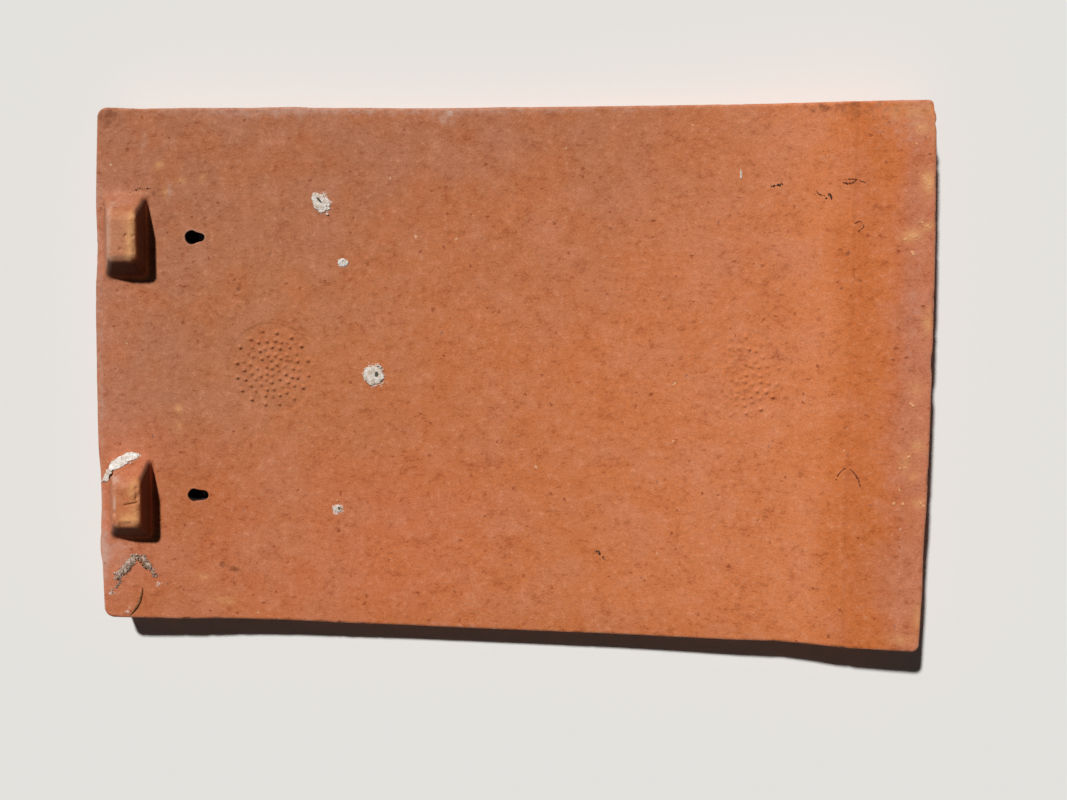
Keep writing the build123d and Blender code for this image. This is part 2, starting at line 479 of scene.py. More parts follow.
@dataclass(frozen=True)
class Nib:
    """One nib: a drafted block with round edges, square to the underside where it stands.

    Its head side and its flank towards +Y run out further at their feet, by the two spreads. A rise is
    a pair of heights, and a band a pair of distances, over which a mark comes in or fades. The batten
    face and the flank towards -Y, which turn away from the key light, are darkened with painted shade.
    """

    side: int
    batten_face_x: float = -116.5
    ochre: float = 0.85
    haze: float = 0.42
    # painted shade: how strongly the batten face and the flank towards -Y are darkened, as if in shadow
    painted_shade_share: float = 0.72
    flank_spread: float = 1.5
    head_spread: float = 0.4
    spacing: float = 86.6
    shift: float = -1.2
    height: float = 11.5
    length: float = 14.5
    width: float = 26.6
    batten_draft: float = 1.0
    head_draft: float = 24.0
    side_draft: float = 28.0
    edge_radius: float = 1.8
    root_radius: float = 1.0
    corner_radius: float = 2.3
    corner_steps: int = 5
    side_steps: tuple[int, int] = (24, 48)
    edge_steps: int = 9
    wall_steps: int = 15
    root_steps: int = 6
    top_steps: int = 19
    foot_strip: float = 0.25
    blend_height: float = 4.0
    top_rise: Spot = (7.0, 11.5)
    top_haze: float = 0.55
    least_ochre: float = 0.2
    ochre_band: Spot = (-5.0, -1.4)
    haze_rise: Spot = (2.0, 8.0)
    haze_band: Spot = (6.4, 9.8)
    painted_shade_band: Spot = (0.3, 1.7)
    painted_shade_foot: Spot = (0.4, 2.4)
    painted_shade_top: Spot = (8.6, 10.6)
    clearance: float = 0.3
    nowhere: float = -50.0

    @property
    def middle_y(self) -> float:
        """Where the nib's middle stands across the tile."""
        return self.shift + self.side * self.spacing / 2

    def walls(self, height: Array) -> tuple[Array, Array, Array, Array]:
        """Places of the head, batten, right and left walls at a height over the underside."""
        head, batten, side = np.tan(np.radians([self.head_draft, self.batten_draft, self.side_draft]))
        half = self.width / 2 - height * side
        left = half + self.flank_spread * (1 - height / self.height)
        foot = self.length + self.head_spread * (1 - height / self.height)
        return height * head - foot, -height * batten, -half, left

    def frame(self, form: TileForm) -> tuple[Array, Array, Array]:
        """Gives the foot of the batten face, the way along the underside there and the way out of it."""
        slope = form.arc_slope(self.batten_face_x, form.thickness)
        foot = np.array([self.batten_face_x, self.middle_y, form.arc(self.batten_face_x, form.thickness)])
        size = np.hypot(1.0, slope)
        return foot, np.array([1.0, 0.0, slope]) / size, np.array([-slope, 0.0, 1.0]) / size

    def top_height(self, form: TileForm, x: Array, y: Array) -> Array:
        """Height of the nib's surface over a place, or far below where it doesn't stand.

        Args:
            form: the tile's form.
            x: places along the tile.
            y: places across it.

        Returns:
            The heights, each the lowest that the walls allow there.
        """
        foot, along, out = self.frame(form)
        head, side = np.tan(np.radians([self.head_draft, self.side_draft]))
        a = (x - foot[0]) / along[0]
        b = y - foot[1]
        rise = np.minimum.reduce([
            (a + self.length + self.head_spread) / (head + self.head_spread / self.height),
            (self.width / 2 + b) / side,
            (self.width / 2 + self.flank_spread - b) / (side + self.flank_spread / self.height),
            np.full_like(a, self.height),
        ])
        rise = np.where(a > self.clearance, self.nowhere, rise)
        return foot[2] + a * along[2] + rise * out[2]

    def build(self, shell: Shell, form: TileForm) -> Pair:
        """Adds the nib as rings from its top's middle outwards, down its walls and over its root.

        Args:
            shell: the surface to add it to.
            form: the tile's form.

        Returns:
            The outermost ring's numbers and turns.
        """
        edge_inset, edge_drop = rounding(self.edge_radius, self.edge_steps)
        root_height, root_outset = rounding(self.root_radius, self.root_steps)
        wall = np.linspace(self.height - self.edge_radius, self.root_radius, self.wall_steps)[1:-1]
        strip = [self.root_radius + self.foot_strip]
        heights = np.concatenate([self.height - edge_drop, wall, root_height, [0.0]])
        outsets = np.concatenate([-edge_inset, np.zeros(len(wall)), root_outset, strip])
        rows, turns = [], np.zeros(0)
        for height, outset in zip(heights, outsets):
            head, batten, right, left = self.walls(height)
            low, high = (head - outset, right - outset), (batten + outset, left + outset)
            radius = self.corner_radius + outset
            ring, turns = rounded_ring(low, high, radius, self.corner_steps, self.side_steps)
            rows.append(np.column_stack([ring, np.full(len(ring), height)]))
        edge = np.stack(rows)
        middle = edge[0].mean(axis=0)
        shares = np.linspace(0.05, 1.0, self.top_steps)[:-1, None, None]
        local = np.concatenate([middle + (edge[0] - middle) * shares, edge])
        crown = np.zeros(len(local))
        first = len(shares)
        # wear on the edge's rounding, which also takes a pale painted highlight
        crown[first:first + self.edge_steps] = np.sin(2 * np.linspace(0, np.pi / 2, self.edge_steps))
        height = local[..., 2]
        on_top = smooth_step(*self.top_rise, height)
        ochre = self.least_ochre + (1 - self.least_ochre) * smooth_step(*self.ochre_band, local[..., 0])
        haze = smooth_step(*self.haze_rise, height) * smooth_step(*self.haze_band, -local[..., 0])
        # painted shade: darkens the batten face and the flank towards -Y, which lie in the nib's shadow
        _, batten, right, _ = self.walls(height)
        shaded = np.minimum(batten - local[..., 0], local[..., 1] - right)
        painted_shade_share = (1 - smooth_step(*self.painted_shade_band, shaded)) * (1 - smooth_step(*self.painted_shade_top, height))
        numbers = shell.add(
            self.to_tile(form, local),
            wear=np.broadcast_to(crown[:, None], height.shape),
            ochre=on_top * self.ochre * ochre,
            haze=self.haze * (haze + self.top_haze * on_top),
            deep=self.painted_shade_share * (painted_shade_share * smooth_step(*self.painted_shade_foot, height)),
        )
        shell.rings(numbers)
        pole = shell.add(
            self.to_tile(form, middle[None, None, :]),
            ochre=np.full((1, 1), self.least_ochre * self.ochre),
            haze=np.full((1, 1), self.top_haze * self.haze),
        )
        shell.fan(numbers[0], int(pole[0, 0]))
        return numbers[-1], turns

    def to_tile(self, form: TileForm, local: Array) -> Array:
        """Carries points from the nib's own axes to the tile's, with the foot bent to the underside."""
        foot, along, out = self.frame(form)
        points = foot + local[..., :1] * along + local[..., 2:] * out
        points[..., 1] += local[..., 1]
        plane = foot[2] + (points[..., 0] - foot[0]) * along[2] / along[0]
        share = np.clip(1 - local[..., 2] / self.blend_height, 0, 1)
        points[..., 2] += share * (form.under_height(points[..., 0]) - plane)
        return points


@dataclass(frozen=True)
class NailHole:
    """One nail hole: a round hole with a narrower, torn slot that runs towards the tail.

    The strips are the flat rings round its rim, by their distance from it, and the burr swells there.
    The rim's haze and painted shade are listed from the hole outwards; the wall inside is painted dark as
    shade.
    """

    side: int
    slot_radius: float
    slot_reach: float
    seed: int
    radius: float = 2.2
    spacing: float = 85.2
    middle_x: float = -102.0
    lip: float = 0.45
    centre: float = 0.9
    furthest: float = 7.0
    fineness: float = 0.01
    torn: float = 0.045
    burr: float = 0.1
    spokes: int = 60
    strips: tuple[float, ...] = (1.7, 1.1, 0.7)
    round_steps: int = 6
    wall_steps: int = 11
    mouth: float = 0.96
    raggedness: float = 2.2
    haze: float = 0.35
    rim_haze: tuple[float, ...] = (0.0, 0.3, 0.7, 1.0, 1.0, 0.8, 0.6, 0.3, 0.0)
    rim_painted_shade: tuple[float, ...] = (0.6, 0.2)

    @property
    def middle_y(self) -> float:
        """Where the hole's middle lies across the tile."""
        return self.side * self.spacing / 2

    def outline(self) -> tuple[Array, Array, Array]:
        """Draws the hole about a point in it: the reach of a disc and of a tapering slot at each angle.

        Returns:
            The hole's points about the middle, its outward ways, and its turns.
        """
        turns = np.arange(self.spokes) / self.spokes * 4.0
        way = ways(turns * np.pi / 2 + np.radians(225))
        reach = np.linspace(0.0, self.furthest, round(self.furthest / self.fineness) + 1)
        centre = np.array([self.centre, 0.0])
        probe = centre + reach[:, None, None] * way
        in_disc = np.hypot(probe[..., 0], probe[..., 1]) < self.radius
        along = np.clip(probe[..., 0] / self.slot_reach, 0.0, 1.0)
        mouth = self.radius * self.mouth
        taper = mouth + (self.slot_radius - mouth) * along
        in_slot = np.hypot(probe[..., 0] - along * self.slot_reach, probe[..., 1]) < taper
        rim = reach[np.where(in_disc | in_slot, np.arange(len(reach))[:, None], 0).max(axis=0)]
        rim = (np.roll(rim, 1) + 2 * rim + np.roll(rim, -1)) / 4
        places = np.column_stack([way * self.raggedness, np.zeros(self.spokes)])
        ragged = ClayNoise(self.seed).at(places, 1.0)
        rim = rim * (1 + self.torn * ragged)
        return centre + rim[:, None] * way, way, turns

    def build(self, shell: Shell, form: TileForm) -> tuple[Pair, Pair]:
        """Adds the hole as rings from the weather face up its wall and out over the underside.

        Args:
            shell: the surface to add it to.
            form: the tile's form.

        Returns:
            The outermost rings on the underside and on the weather face, each with its turns.
        """
        rim, way, turns = self.outline()
        place = np.array([self.middle_x, self.middle_y])
        round_out, round_down = rounding(self.lip, self.round_steps)
        still = np.zeros(len(self.strips))
        outset = np.concatenate([self.strips, round_out])
        drop = np.concatenate([still, round_down])
        swell = self.burr * np.cos(np.linspace(0, np.pi / 2, self.round_steps))
        lift = np.concatenate([np.linspace(0.0, self.burr, len(still)), swell])
        under = place + rim + way * outset[:, None, None]
        weather = under[::-1]
        z_under = form.under_height(under[..., 0]) + (lift - drop)[:, None]
        z_weather = form.weather_height(weather[..., 0]) + drop[::-1][:, None]
        share = np.linspace(0, 1, self.wall_steps)[1:-1, None]
        z_wall = z_weather[0] + (z_under[-1] - z_weather[0]) * share
        wall = np.broadcast_to(under[-1], (len(share),) + under[-1].shape)
        plan = np.concatenate([weather[::-1], wall, under[::-1]])
        z = np.concatenate([z_weather[::-1], z_wall, z_under[::-1]])
        # painted shade: the wall inside the hole and the first rings round its rim are darkened as if in
        # shadow
        pale, dark = np.zeros(len(z)), np.zeros(len(z))
        pale[-len(self.rim_haze):] = self.rim_haze
        inside = slice(len(still) + 1, -len(drop) + 1)
        dark[inside] = 1.0
        dark[inside.stop:inside.stop + len(self.rim_painted_shade)] = self.rim_painted_shade
        numbers = shell.add(
            np.concatenate([plan, z[..., None]], axis=-1),
            haze=np.broadcast_to(self.haze * pale[:, None], z.shape),
            deep=np.broadcast_to(dark[:, None], z.shape),
        )
        shell.rings(numbers)
        return (numbers[-1], turns), (numbers[0], turns)


@dataclass(frozen=True)
class KeyPad:
    """One round keying pad: a shallow sunk disc with rows of small raised studs."""

    middle_x: float
    strength: float
    seed: int
    sunk: float = 0.18
    fade: Spot = (-40.0, -30.0)
    diameter: float = 30.0
    ring_radii: tuple[float, ...] = (0.0, 2.3, 4.6, 6.9, 9.2, 12.2)
    ring_counts: tuple[int, ...] = (1, 6, 11, 17, 21, 16)
    stud_radius: float = 0.66
    stud_height: float = 0.62
    radius_spread: Spot = (0.85, 1.15)
    height_spread: Spot = (0.6, 1.1)
    outer_ring: float = 11.0
    half_block: float = 15.8
    step: float = 0.28
    jitter: float = 0.45
    # painted shade at each stud's foot, on the side away from the light: its offset, its reach and its
    # strongest share
    wall_band: Spot = (-0.5, 0.4)
    dirt_place: Spot = (0.35, -0.5)
    dirt_reach: float = 0.5
    most_dirt: float = 0.85

    def studs(self) -> Array:
        """Places the studs on rings, each moved a little by a seeded amount.

        Returns:
            One row for each stud: x, y, radius and height in millimetres.
        """
        rng = np.random.default_rng(self.seed)
        radii = np.repeat(self.ring_radii, self.ring_counts)
        steps = np.concatenate([np.arange(n) / n for n in self.ring_counts])
        angle = 2 * np.pi * (steps + np.repeat(rng.uniform(0, 1, len(self.ring_counts)), self.ring_counts))
        places = radii[:, None] * ways(angle)
        places += rng.uniform(-self.jitter, self.jitter, places.shape)
        size = self.stud_radius * rng.uniform(*self.radius_spread, len(places))
        height = self.stud_height * self.strength * rng.uniform(*self.height_spread, len(places))
        height = height * (0.9 + 0.25 * (radii > self.outer_ring)) * smooth_step(*self.fade, places[:, 0])
        return np.column_stack([places, size, height])

    def build(self, shell: Shell, form: TileForm) -> Pair:
        """Adds the pad as a fine grid: the underside, less the disc's depth, plus the studs' domes.

        Painted shade darkens each stud's foot on the side away from the light.

        Args:
            shell: the surface to add it to.
            form: the tile's form.

        Returns:
            The grid's outer ring and its turns.
        """
        count = int(round(2 * self.half_block / self.step)) + 1
        lines = np.linspace(-self.half_block, self.half_block, count)
        x, y = np.meshgrid(lines, lines, indexing="ij")
        radius = np.hypot(x, y)
        sink = self.sunk * (1 - smooth_step(*self.wall_band, radius - self.diameter / 2))
        height, dirt = -sink, np.zeros(x.shape)
        for stud_x, stud_y, size, rise in self.studs():
            near = np.hypot(x - stud_x, y - stud_y) / size
            height = height + rise * np.exp(-(near**3))
            # painted shade beside the stud, moved to the side away from the light
            gap_x, gap_y = x - stud_x - self.dirt_place[0], y - stud_y - self.dirt_place[1]
            beside = np.hypot(gap_x, gap_y) / self.dirt_reach
            dirt = np.maximum(dirt, np.minimum(1.6 * rise, self.most_dirt) * np.exp(-(beside**2)))
        z = form.under_height(x + self.middle_x) + height
        numbers = shell.add(np.stack([x + self.middle_x, y, z], axis=-1), dirt=dirt)
        shell.sheet(numbers)
        return block_ring(numbers)


class Relief(Enum):
    """The clay's relief: wavelength and depth in millimetres, layers, and the waves' squeeze along x."""

    WARP = (60.0, 0.16, 1, 1.0)
    PRESS = (10.0, 0.06, 2, 0.7)
    SKIN = (2.9, 0.11, 2, 0.6)


@dataclass(frozen=True)
class Patch:
    """A soft round patch of a mask: its middle, its reach along and across, and its strength."""

    x: float
    y: float
    reach_x: float
    reach_y: float
    strength: float

    def at(self, points: Array) -> Array:
        """Gives its strength at each place, a bell over its reaches."""
        along, across = (points[:, 0] - self.x) / self.reach_x, (points[:, 1] - self.y) / self.reach_y
        return self.strength * np.exp(-(along**2) - across**2)


def patches(*rows: tuple[float, float, float, float, float]) -> tuple[Patch, ...]:
    """Makes a patch of each row of its five values."""
    return tuple(Patch(*row) for row in rows)


@dataclass(frozen=True)
class Scratch:
    """A thin crack or scratch between two places, with its breadth and its strength."""

    start: Spot
    end: Spot
    breadth: float
    strength: float

    def at(self, points: Array) -> Array:
        """Gives its strength at each place, a bell over the distance from its line."""
        start, way = np.array(self.start), np.array(self.end) - np.array(self.start)
        share = np.clip((points[:, :2] - start) @ way / (way @ way), 0.0, 1.0)
        gap = np.linalg.norm(points[:, :2] - start - share[:, None] * way, axis=1)
        return self.strength * np.exp(-((gap / self.breadth) ** 2))


@dataclass(frozen=True)
class Weathering:
    """Where age has marked the underside: haze, dirt, ochre, warm clay, lime, knocks and cracks.

    A patch is its middle in x and y, its reaches in x and y, and its strength. The fresh patches are the
    corners that have broken off.
    """

    haze: tuple[Patch, ...] = patches(
        (-117.5, 74, 1.6, 6, 0.5), (-116.5, 64, 1.4, 3, 0.35), (-109.5, 58, 1.6, 4, 0.55),
        (-127, 58, 6, 3, 0.35), (-122.5, 54, 5, 2, 0.5), (-18, 80, 5, 2.6, 0.5), (122, 77, 13, 9, 0.36),
        (-58.6, 54, 5.5, 6.5, 0.5), (-41.2, -1.7, 5.8, 5.6, 0.35), (-53.4, -46, 3.4, 3, 0.3),
        (-98, 48, 16, 14, 0.2), (-100, -62, 20, 6, 0.2), (-128, -63, 8, 7, 0.5),
        (-124.5, -36.3, 3.4, 1.5, 0.8), (-124.2, -44.5, 0.45, 2.6, 0.9), (-133.2, 0, 1.9, 85, 0.5),
        (-133, -64, 2.4, 20, 0.22), (-20, 83.5, 115, 2.2, 0.5), (-78, 82, 40, 5, 0.2),
        (131, -73, 4, 7, 0.12), (129, 30, 4.5, 45, 0.35), (0, -83.5, 130, 1.4, 0.3),
    )
    dirt: tuple[Patch, ...] = patches(
        (109, 60.2, 2.4, 0.9, 0.6), (112, 47.2, 1.3, 1.3, 0.45), (92, 70.6, 1, 0.7, 0.6),
        (115, 67, 0.6, 1.2, 0.4), (108.8, 38.6, 1.1, 1.3, 0.8), (107, 28.2, 0.7, 0.8, 0.8),
        (110.4, 32.4, 1, 1, 0.55), (112.6, 30.6, 1.1, 1.1, 0.65), (109.1, -15.2, 1.2, 1.1, 0.7),
        (110.2, -23.5, 0.9, 0.8, 0.75), (-114, 57, 2.2, 1.2, 0.6), (-92.4, -65.6, 2.8, 1.1, 0.76),
        (-88.2, -67.2, 2.6, 1.1, 0.8), (-77.7, -70, 1.1, 3.4, 0.66), (-86, 26, 2, 1, 0.66),
        (110.8, 5, 0.9, 70, 0.16), (107, 83, 25, 4.2, 0.5), (-129, 81.5, 8, 5, 0.55),
    )
    ochre: tuple[Patch, ...] = patches(
        (-107, -14, 1, 1.2, 0.8), (-107, -20, 0.8, 1.6, 0.7), (-112.6, 65.8, 1.1, 1.1, 0.9),
        (-110.8, 57.6, 0.9, 1.2, 0.9), (-105.4, 61, 1.2, 0.9, 0.7), (-98.3, 62, 0.9, 0.7, 0.9),
        (-119.4, -49.4, 3, 2.6, 0.75), (-118.4, -40, 1.6, 2, 0.4), (-99, -70, 3, 1.2, 0.5),
        (-92, -78, 4, 1.6, 0.5), (129, 76.4, 2.2, 1.8, 0.6), (126, 81.5, 9, 2.4, 0.45),
        (131.6, 60.1, 2, 3.4, 0.85), (131.8, 47, 2.6, 1.5, 0.75), (127.2, 43.9, 2.8, 1.8, 0.85),
        (133, 18, 1.6, 3.4, 0.7), (134, 77, 2.2, 7, 0.5), (130.4, -3, 2, 2.4, 0.4),
        (131.2, -20.4, 2.4, 2.2, 0.6), (127.6, -25.4, 1.8, 2.8, 0.5), (130.6, -29.6, 1.6, 1.8, 0.5),
        (132.4, -38, 2, 1.6, 0.6), (133, -73, 1.4, 4, 0.6), (128, -81, 5, 1.6, 0.5),
    )
    warm: tuple[Patch, ...] = patches(
        (-106, -42, 15, 15, 0.75), (-116, -78, 16, 7, 0.4), (0, -83, 150, 6, 0.35), (118, -58, 18, 22, 0.3),
    )
    lime: tuple[Patch, ...] = patches(
        (-58.6, 54, 3.2, 4.2, 0.85), (-51.7, 34.8, 2.2, 1.6, 1), (-41.2, -1.8, 4, 3.9, 1),
        (-53.6, -46.1, 2.3, 1.8, 1), (-16.5, 82.6, 2, 1, 0.6), (-126.6, -32.2, 4.6, 2.2, 0.6),
        (-130.6, -36.2, 2, 1.6, 0.5), (-130.4, -76.6, 1.5, 1.2, 0.7), (-114.9, -73.2, 2.2, 1.5, 0.46),
        (-125.3, -82.8, 1.3, 1.1, 0.6), (118.2, -3.2, 0.6, 0.8, 0.8), (113.6, -21, 0.5, 0.5, 0.8),
        (127.5, -50, 1.4, 0.5, 0.6),
    )
    fresh: tuple[Patch, ...] = patches(
        (134, 82.8, 1.5, 1.9, 1.2), (134.4, 77.6, 0.8, 0.9, 0.9),
    )
    knocks: tuple[Patch, ...] = patches(
        (-116.6, -42.4, 0.9, 1.1, 0.9), (-116.8, -39, 0.8, 0.7, 0.5), (-124.6, -47.5, 0.7, 0.8, 0.5),
        (-117.2, 33.5, 0.7, 1, 0.4), (-121, 38.2, 0.5, 0.5, 0.5), (-119.2, 42.6, 0.45, 0.5, 0.5),
    )
    cracks: tuple[Scratch, ...] = (
        Scratch((-120.6, -44.6), (-115.9, -43.6), 0.3, 0.9),
        Scratch((-125.6, -35.2), (-120.6, -31.6), 0.42, 1.0),
        Scratch((-120.6, -31.6), (-117.6, -30.4), 0.3, 0.8),
        Scratch((-123.0, 30.6), (-119.6, 31.4), 0.28, 0.6),
    )

    def spread(self, name: str, points: Array) -> Array:
        """Adds up the patches of one kind.

        Args:
            name: the kind's field.
            points: places, one row each.

        Returns:
            The sum at each place, at most 1.
        """
        total = np.zeros(len(points))
        for patch in getattr(self, name):
            total += patch.at(points)
        return np.clip(total, 0.0, 1.0)


class Grid:
    """The coarse grid of one face of the tile, into which the finer surfaces are let."""

    def __init__(self, shell: Shell, form: TileForm, lines: Pair, inset: float, upper: bool) -> None:
        """Adds the grid's points.

        Args:
            shell: the surface to add them to.
            form: the tile's form.
            lines: the grid's lines along x and y.
            inset: how far the grid stays from the tile's plan.
            upper: whether it lies on the underside, which is up, or else on the weather face.
        """
        self.shell = shell
        self.lines = lines
        self.upper = upper
        x, y = form.place(*np.meshgrid(*lines, indexing="ij"), inset)
        z = form.under_height(x) if upper else form.weather_height(x)
        self.numbers = shell.add(np.stack([x, y, z], axis=-1))
        self.keep = np.ones((len(lines[0]) - 1, len(lines[1]) - 1), bool)

    def cut(self, ends: Spot, middle_y: float, reach: float) -> Pair:
        """Clears a rectangle of cells, whose sides are lines of the grid, for a finer surface.

        Args:
            ends: where the rectangle begins and ends in x.
            middle_y: its middle in y.
            reach: how far it goes to both sides of that middle.

        Returns:
            The ring of grid points round it, with its turns.
        """
        spans = ends, (middle_y - reach, middle_y + reach)
        (i, j), (k, m) = (
            [int(np.argmin(np.abs(lines - value))) for value in span]
            for lines, span in zip(self.lines, spans)
        )
        self.keep[i:j, k:m] = False
        return block_ring(self.numbers[i:j + 1, k:m + 1])

    def cover(self) -> None:
        """Covers the cells that no finer surface took."""
        self.shell.sheet(self.numbers, self.keep, flip=not self.upper)


@dataclass(frozen=True)
class FiredTile:
    """The whole tile as one closed surface, which stands for the part's solid.

    The ends in x and the reaches in y bound the rectangles of the grid that the nibs, the holes and the
    pads take.
    """

    form: TileForm
    nibs: tuple[Nib, ...]
    holes: tuple[NailHole, ...]
    pads: tuple[KeyPad, ...]
    weathering: Weathering = field(default_factory=Weathering)
    nib_ends: Spot = (-133.55, -114.4)
    nib_reach: float = 16.6
    hole_ends: Spot = (-106.9, -94.9)
    hole_reach: float = 5.0
    pad_reach: float = 16.6
    rim_strip: float = 1.2
    under_steps: int = 6
    wall_steps: int = 7
    weather_steps: int = 7
    weather_wear: float = 0.8
    corner_wear: float = 0.35
    relief_seed: int = 5
    chips: ClayNoise = ClayNoise(901)
    chip_size: float = 5.0
    chip_band: Spot = (0.28, 0.62)
    chip_depth: float = 0.45
    crumbs: ClayNoise = ClayNoise(77)
    crumb_size: float = 4.5
    ochre_depth: float = 0.25
    crack_depth: float = 0.45
    upward_band: Spot = (0.2, 0.8)
    stains: tuple[str, ...] = ("haze", "dirt", "ochre", "fresh", "lime", "warm")

    def under_lines(self) -> Pair:
        """Lays the underside's grid lines, closer at the rims and at the groove."""
        x = graded(
            -134.0, (-133.1, 0.45), (-131.0, 0.55), (-114.4, 1.3), (-106.9, 1.35), (-94.9, 1.3),
            (-92.1, 1.4), (-58.9, 1.3), (59.9, 1.3), (93.1, 1.3), (108.4, 1.3), (113.6, 0.6),
            (131.5, 1.3), (134.0, 0.42),
        )
        y = graded(
            -84.0, (-81.5, 0.42), (-61.1, 1.3), (-47.6, 1.3), (-37.6, 1.3), (-27.9, 1.3), (-16.6, 1.3),
            (16.6, 1.3), (25.5, 1.3), (37.6, 1.3), (47.6, 1.3), (58.7, 1.3), (81.5, 1.3), (84.0, 0.42),
        )
        return x, y

    def weather_lines(self) -> Pair:
        """Lays the weather face's grid lines."""
        x = graded(-131.4, (-106.9, 2.2), (-94.9, 2.0), (131.4, 2.2))
        half = graded(0.0, (37.6, 2.2), (47.6, 2.0), (81.4, 2.2))
        return x, np.concatenate([-half[:0:-1], half])

    def underside(self, shell: Shell) -> tuple[Array, list[Pair]]:
        """Adds the underside's grid with the nibs, the pads and the upper ends of the nail holes.

        Args:
            shell: the surface to add it to.

        Returns:
            The grid's point numbers, and the nail holes' rings on the weather face.
        """
        grid = Grid(shell, self.form, self.under_lines(), self.form.under_rim, upper=True)
        for nib in self.nibs:
            border = grid.cut(self.nib_ends, nib.middle_y, self.nib_reach)
            shell.bridge(border, nib.build(shell, self.form))
        for pad in self.pads:
            ends = (pad.middle_x - self.pad_reach, pad.middle_x + self.pad_reach)
            border = grid.cut(ends, 0.0, self.pad_reach)
            shell.bridge(border, pad.build(shell, self.form))
        weather_ends = []
        for hole in self.holes:
            border = grid.cut(self.hole_ends, hole.middle_y, self.hole_reach)
            upper, lower = hole.build(shell, self.form)
            shell.bridge(border, upper)
            weather_ends.append(lower)
        grid.cover()
        return grid.numbers, weather_ends

    def walls(self, shell: Shell, ring: Array) -> Array:
        """Adds the round rims and the walls as rings from the underside's border outwards and down.

        Each ring is the border moved along its own outward way, at a height between the two faces.

        Args:
            shell: the surface to add them to.
            ring: the border's point numbers.

        Returns:
            The last ring's numbers, at the weather face.
        """
        border = np.concatenate(shell.points)[ring]
        ahead = np.roll(border, -1, axis=0) - np.roll(border, 1, axis=0)
        way = np.stack([ahead[:, 1], -ahead[:, 0]], axis=-1)
        way /= np.linalg.norm(way, axis=1, keepdims=True)
        form = self.form
        arc = np.linspace(0, np.pi / 2, self.under_steps)[1:]
        back = np.linspace(0, np.pi / 2, self.weather_steps)
        weather_lift, weather_in = rounding(form.weather_rim, self.weather_steps)
        wall_share = np.linspace(0, 1, self.wall_steps)[1:-1]
        n, m = len(arc), len(wall_share)
        out = np.full(n + m + len(back), form.under_rim)
        out[:n] = form.under_rim * np.sin(arc)
        out[n + m:] -= weather_in
        plan = border[:, :2] + way * out[:, None, None]
        half = form.length / 2
        z = form.under_height(np.clip(plan[..., 0], -half, half))
        z[:n] -= form.under_rim * (1 - np.cos(arc))[:, None]
        z[n + m:] = form.weather_height(plan[n + m:, :, 0]) + weather_lift[:, None]
        z[n:n + m] = z[n - 1] + (z[n + m] - z[n - 1]) * wall_share[:, None]
        # wear on the rims, which also sets the pale painted highlight along them
        wear = np.concatenate([np.sin(2 * arc), np.zeros(m), self.weather_wear * np.sin(2 * back)])
        wear[n - 1] += self.corner_wear
        numbers = shell.add(
            np.concatenate([plan, z[..., None]], axis=-1),
            wear=np.broadcast_to(wear[:, None], z.shape),
        )
        shell.rings(np.concatenate([ring[None, :], numbers]))
        return numbers[-1]

    def weather_face(self, shell: Shell, ring: Pair, ends: list[Pair]) -> None:
        """Adds the weather face's grid and joins it to the walls and to the nail holes.

        Args:
            shell: the surface to add it to.
            ring: the walls' last ring and its turns.
            ends: the nail holes' rings on this face.
        """
        lines = self.weather_lines()
        inset = self.form.length / 2 + lines[0][0] - self.rim_strip
        grid = Grid(shell, self.form, lines, inset, upper=False)
        for hole, end in zip(self.holes, ends):
            border = grid.cut(self.hole_ends, hole.middle_y, self.hole_reach)
            shell.bridge(border, end, flip=True)
        grid.cover()
        shell.bridge(ring, block_ring(grid.numbers), flip=True)

    def relief(self, mesh: bpy.types.Mesh) -> None:
        """Presses the relief into the surface: each point moves inwards by layers of noise.

        The rims lose more, in small chips where the noise is high, so nothing leaves the outer size.

        Args:
            mesh: the tile's mesh in millimetres, changed here.
        """
        points = read_mesh(mesh.vertices, "co", 3)
        normals = read_mesh(mesh.vertices, "normal", 3)
        depth = np.zeros(len(points))
        for k, layer in enumerate(Relief):
            wavelength, height, layers, squeeze = layer.value
            drawn = points * np.array([squeeze, 1.0, 1.0])
            noise = ClayNoise(self.relief_seed + 100 * k)
            depth += height * (0.5 + 0.5 * noise.layered(drawn, wavelength, layers))
        chips = self.chips.layered(points, self.chip_size, 3)
        wear = np.clip(read_mesh(mesh.attributes["wear"].data, "value"), 0, 1)
        depth += wear * (0.1 + 0.9 * smooth_step(*self.chip_band, chips)) * self.chip_depth
        crumbly = 0.5 + 0.5 * self.crumbs.layered(points, self.crumb_size, 3)
        depth += self.ochre_depth * read_mesh(mesh.attributes["ochre"].data, "value") * crumbly
        upward = smooth_step(*self.upward_band, normals[:, 2])
        depth += self.weathering.spread("fresh", points) * (0.9 + 0.5 * chips)
        depth += self.weathering.spread("knocks", points) * upward
        cracks = np.maximum.reduce([crack.at(points) for crack in self.weathering.cracks]) * upward
        depth += self.crack_depth * cracks
        points = points - normals * np.maximum(depth, 0.0)[:, None]
        mesh.vertices.foreach_set("co", points.ravel())
        for name in self.stains:
            data = mesh.attributes[name].data
            spread = self.weathering.spread(name, points) * upward
            if name == "dirt":
                spread += cracks
            data.foreach_set("value", np.clip(read_mesh(data, "value") + spread, 0, 1))

    def build(self) -> Piece:
        """Builds the tile as one closed mesh and links it to the scene.

        Returns:
            The tile's object.
        """
        shell = Shell(("wear", "deep") + self.stains)
        numbers, ends = self.underside(shell)
        border, turns = block_ring(numbers)
        self.weather_face(shell, (self.walls(shell, border), turns), ends)
        mesh = shell.mesh("fired_tile")
        self.relief(mesh)
        return linked("fired_tile", mesh)


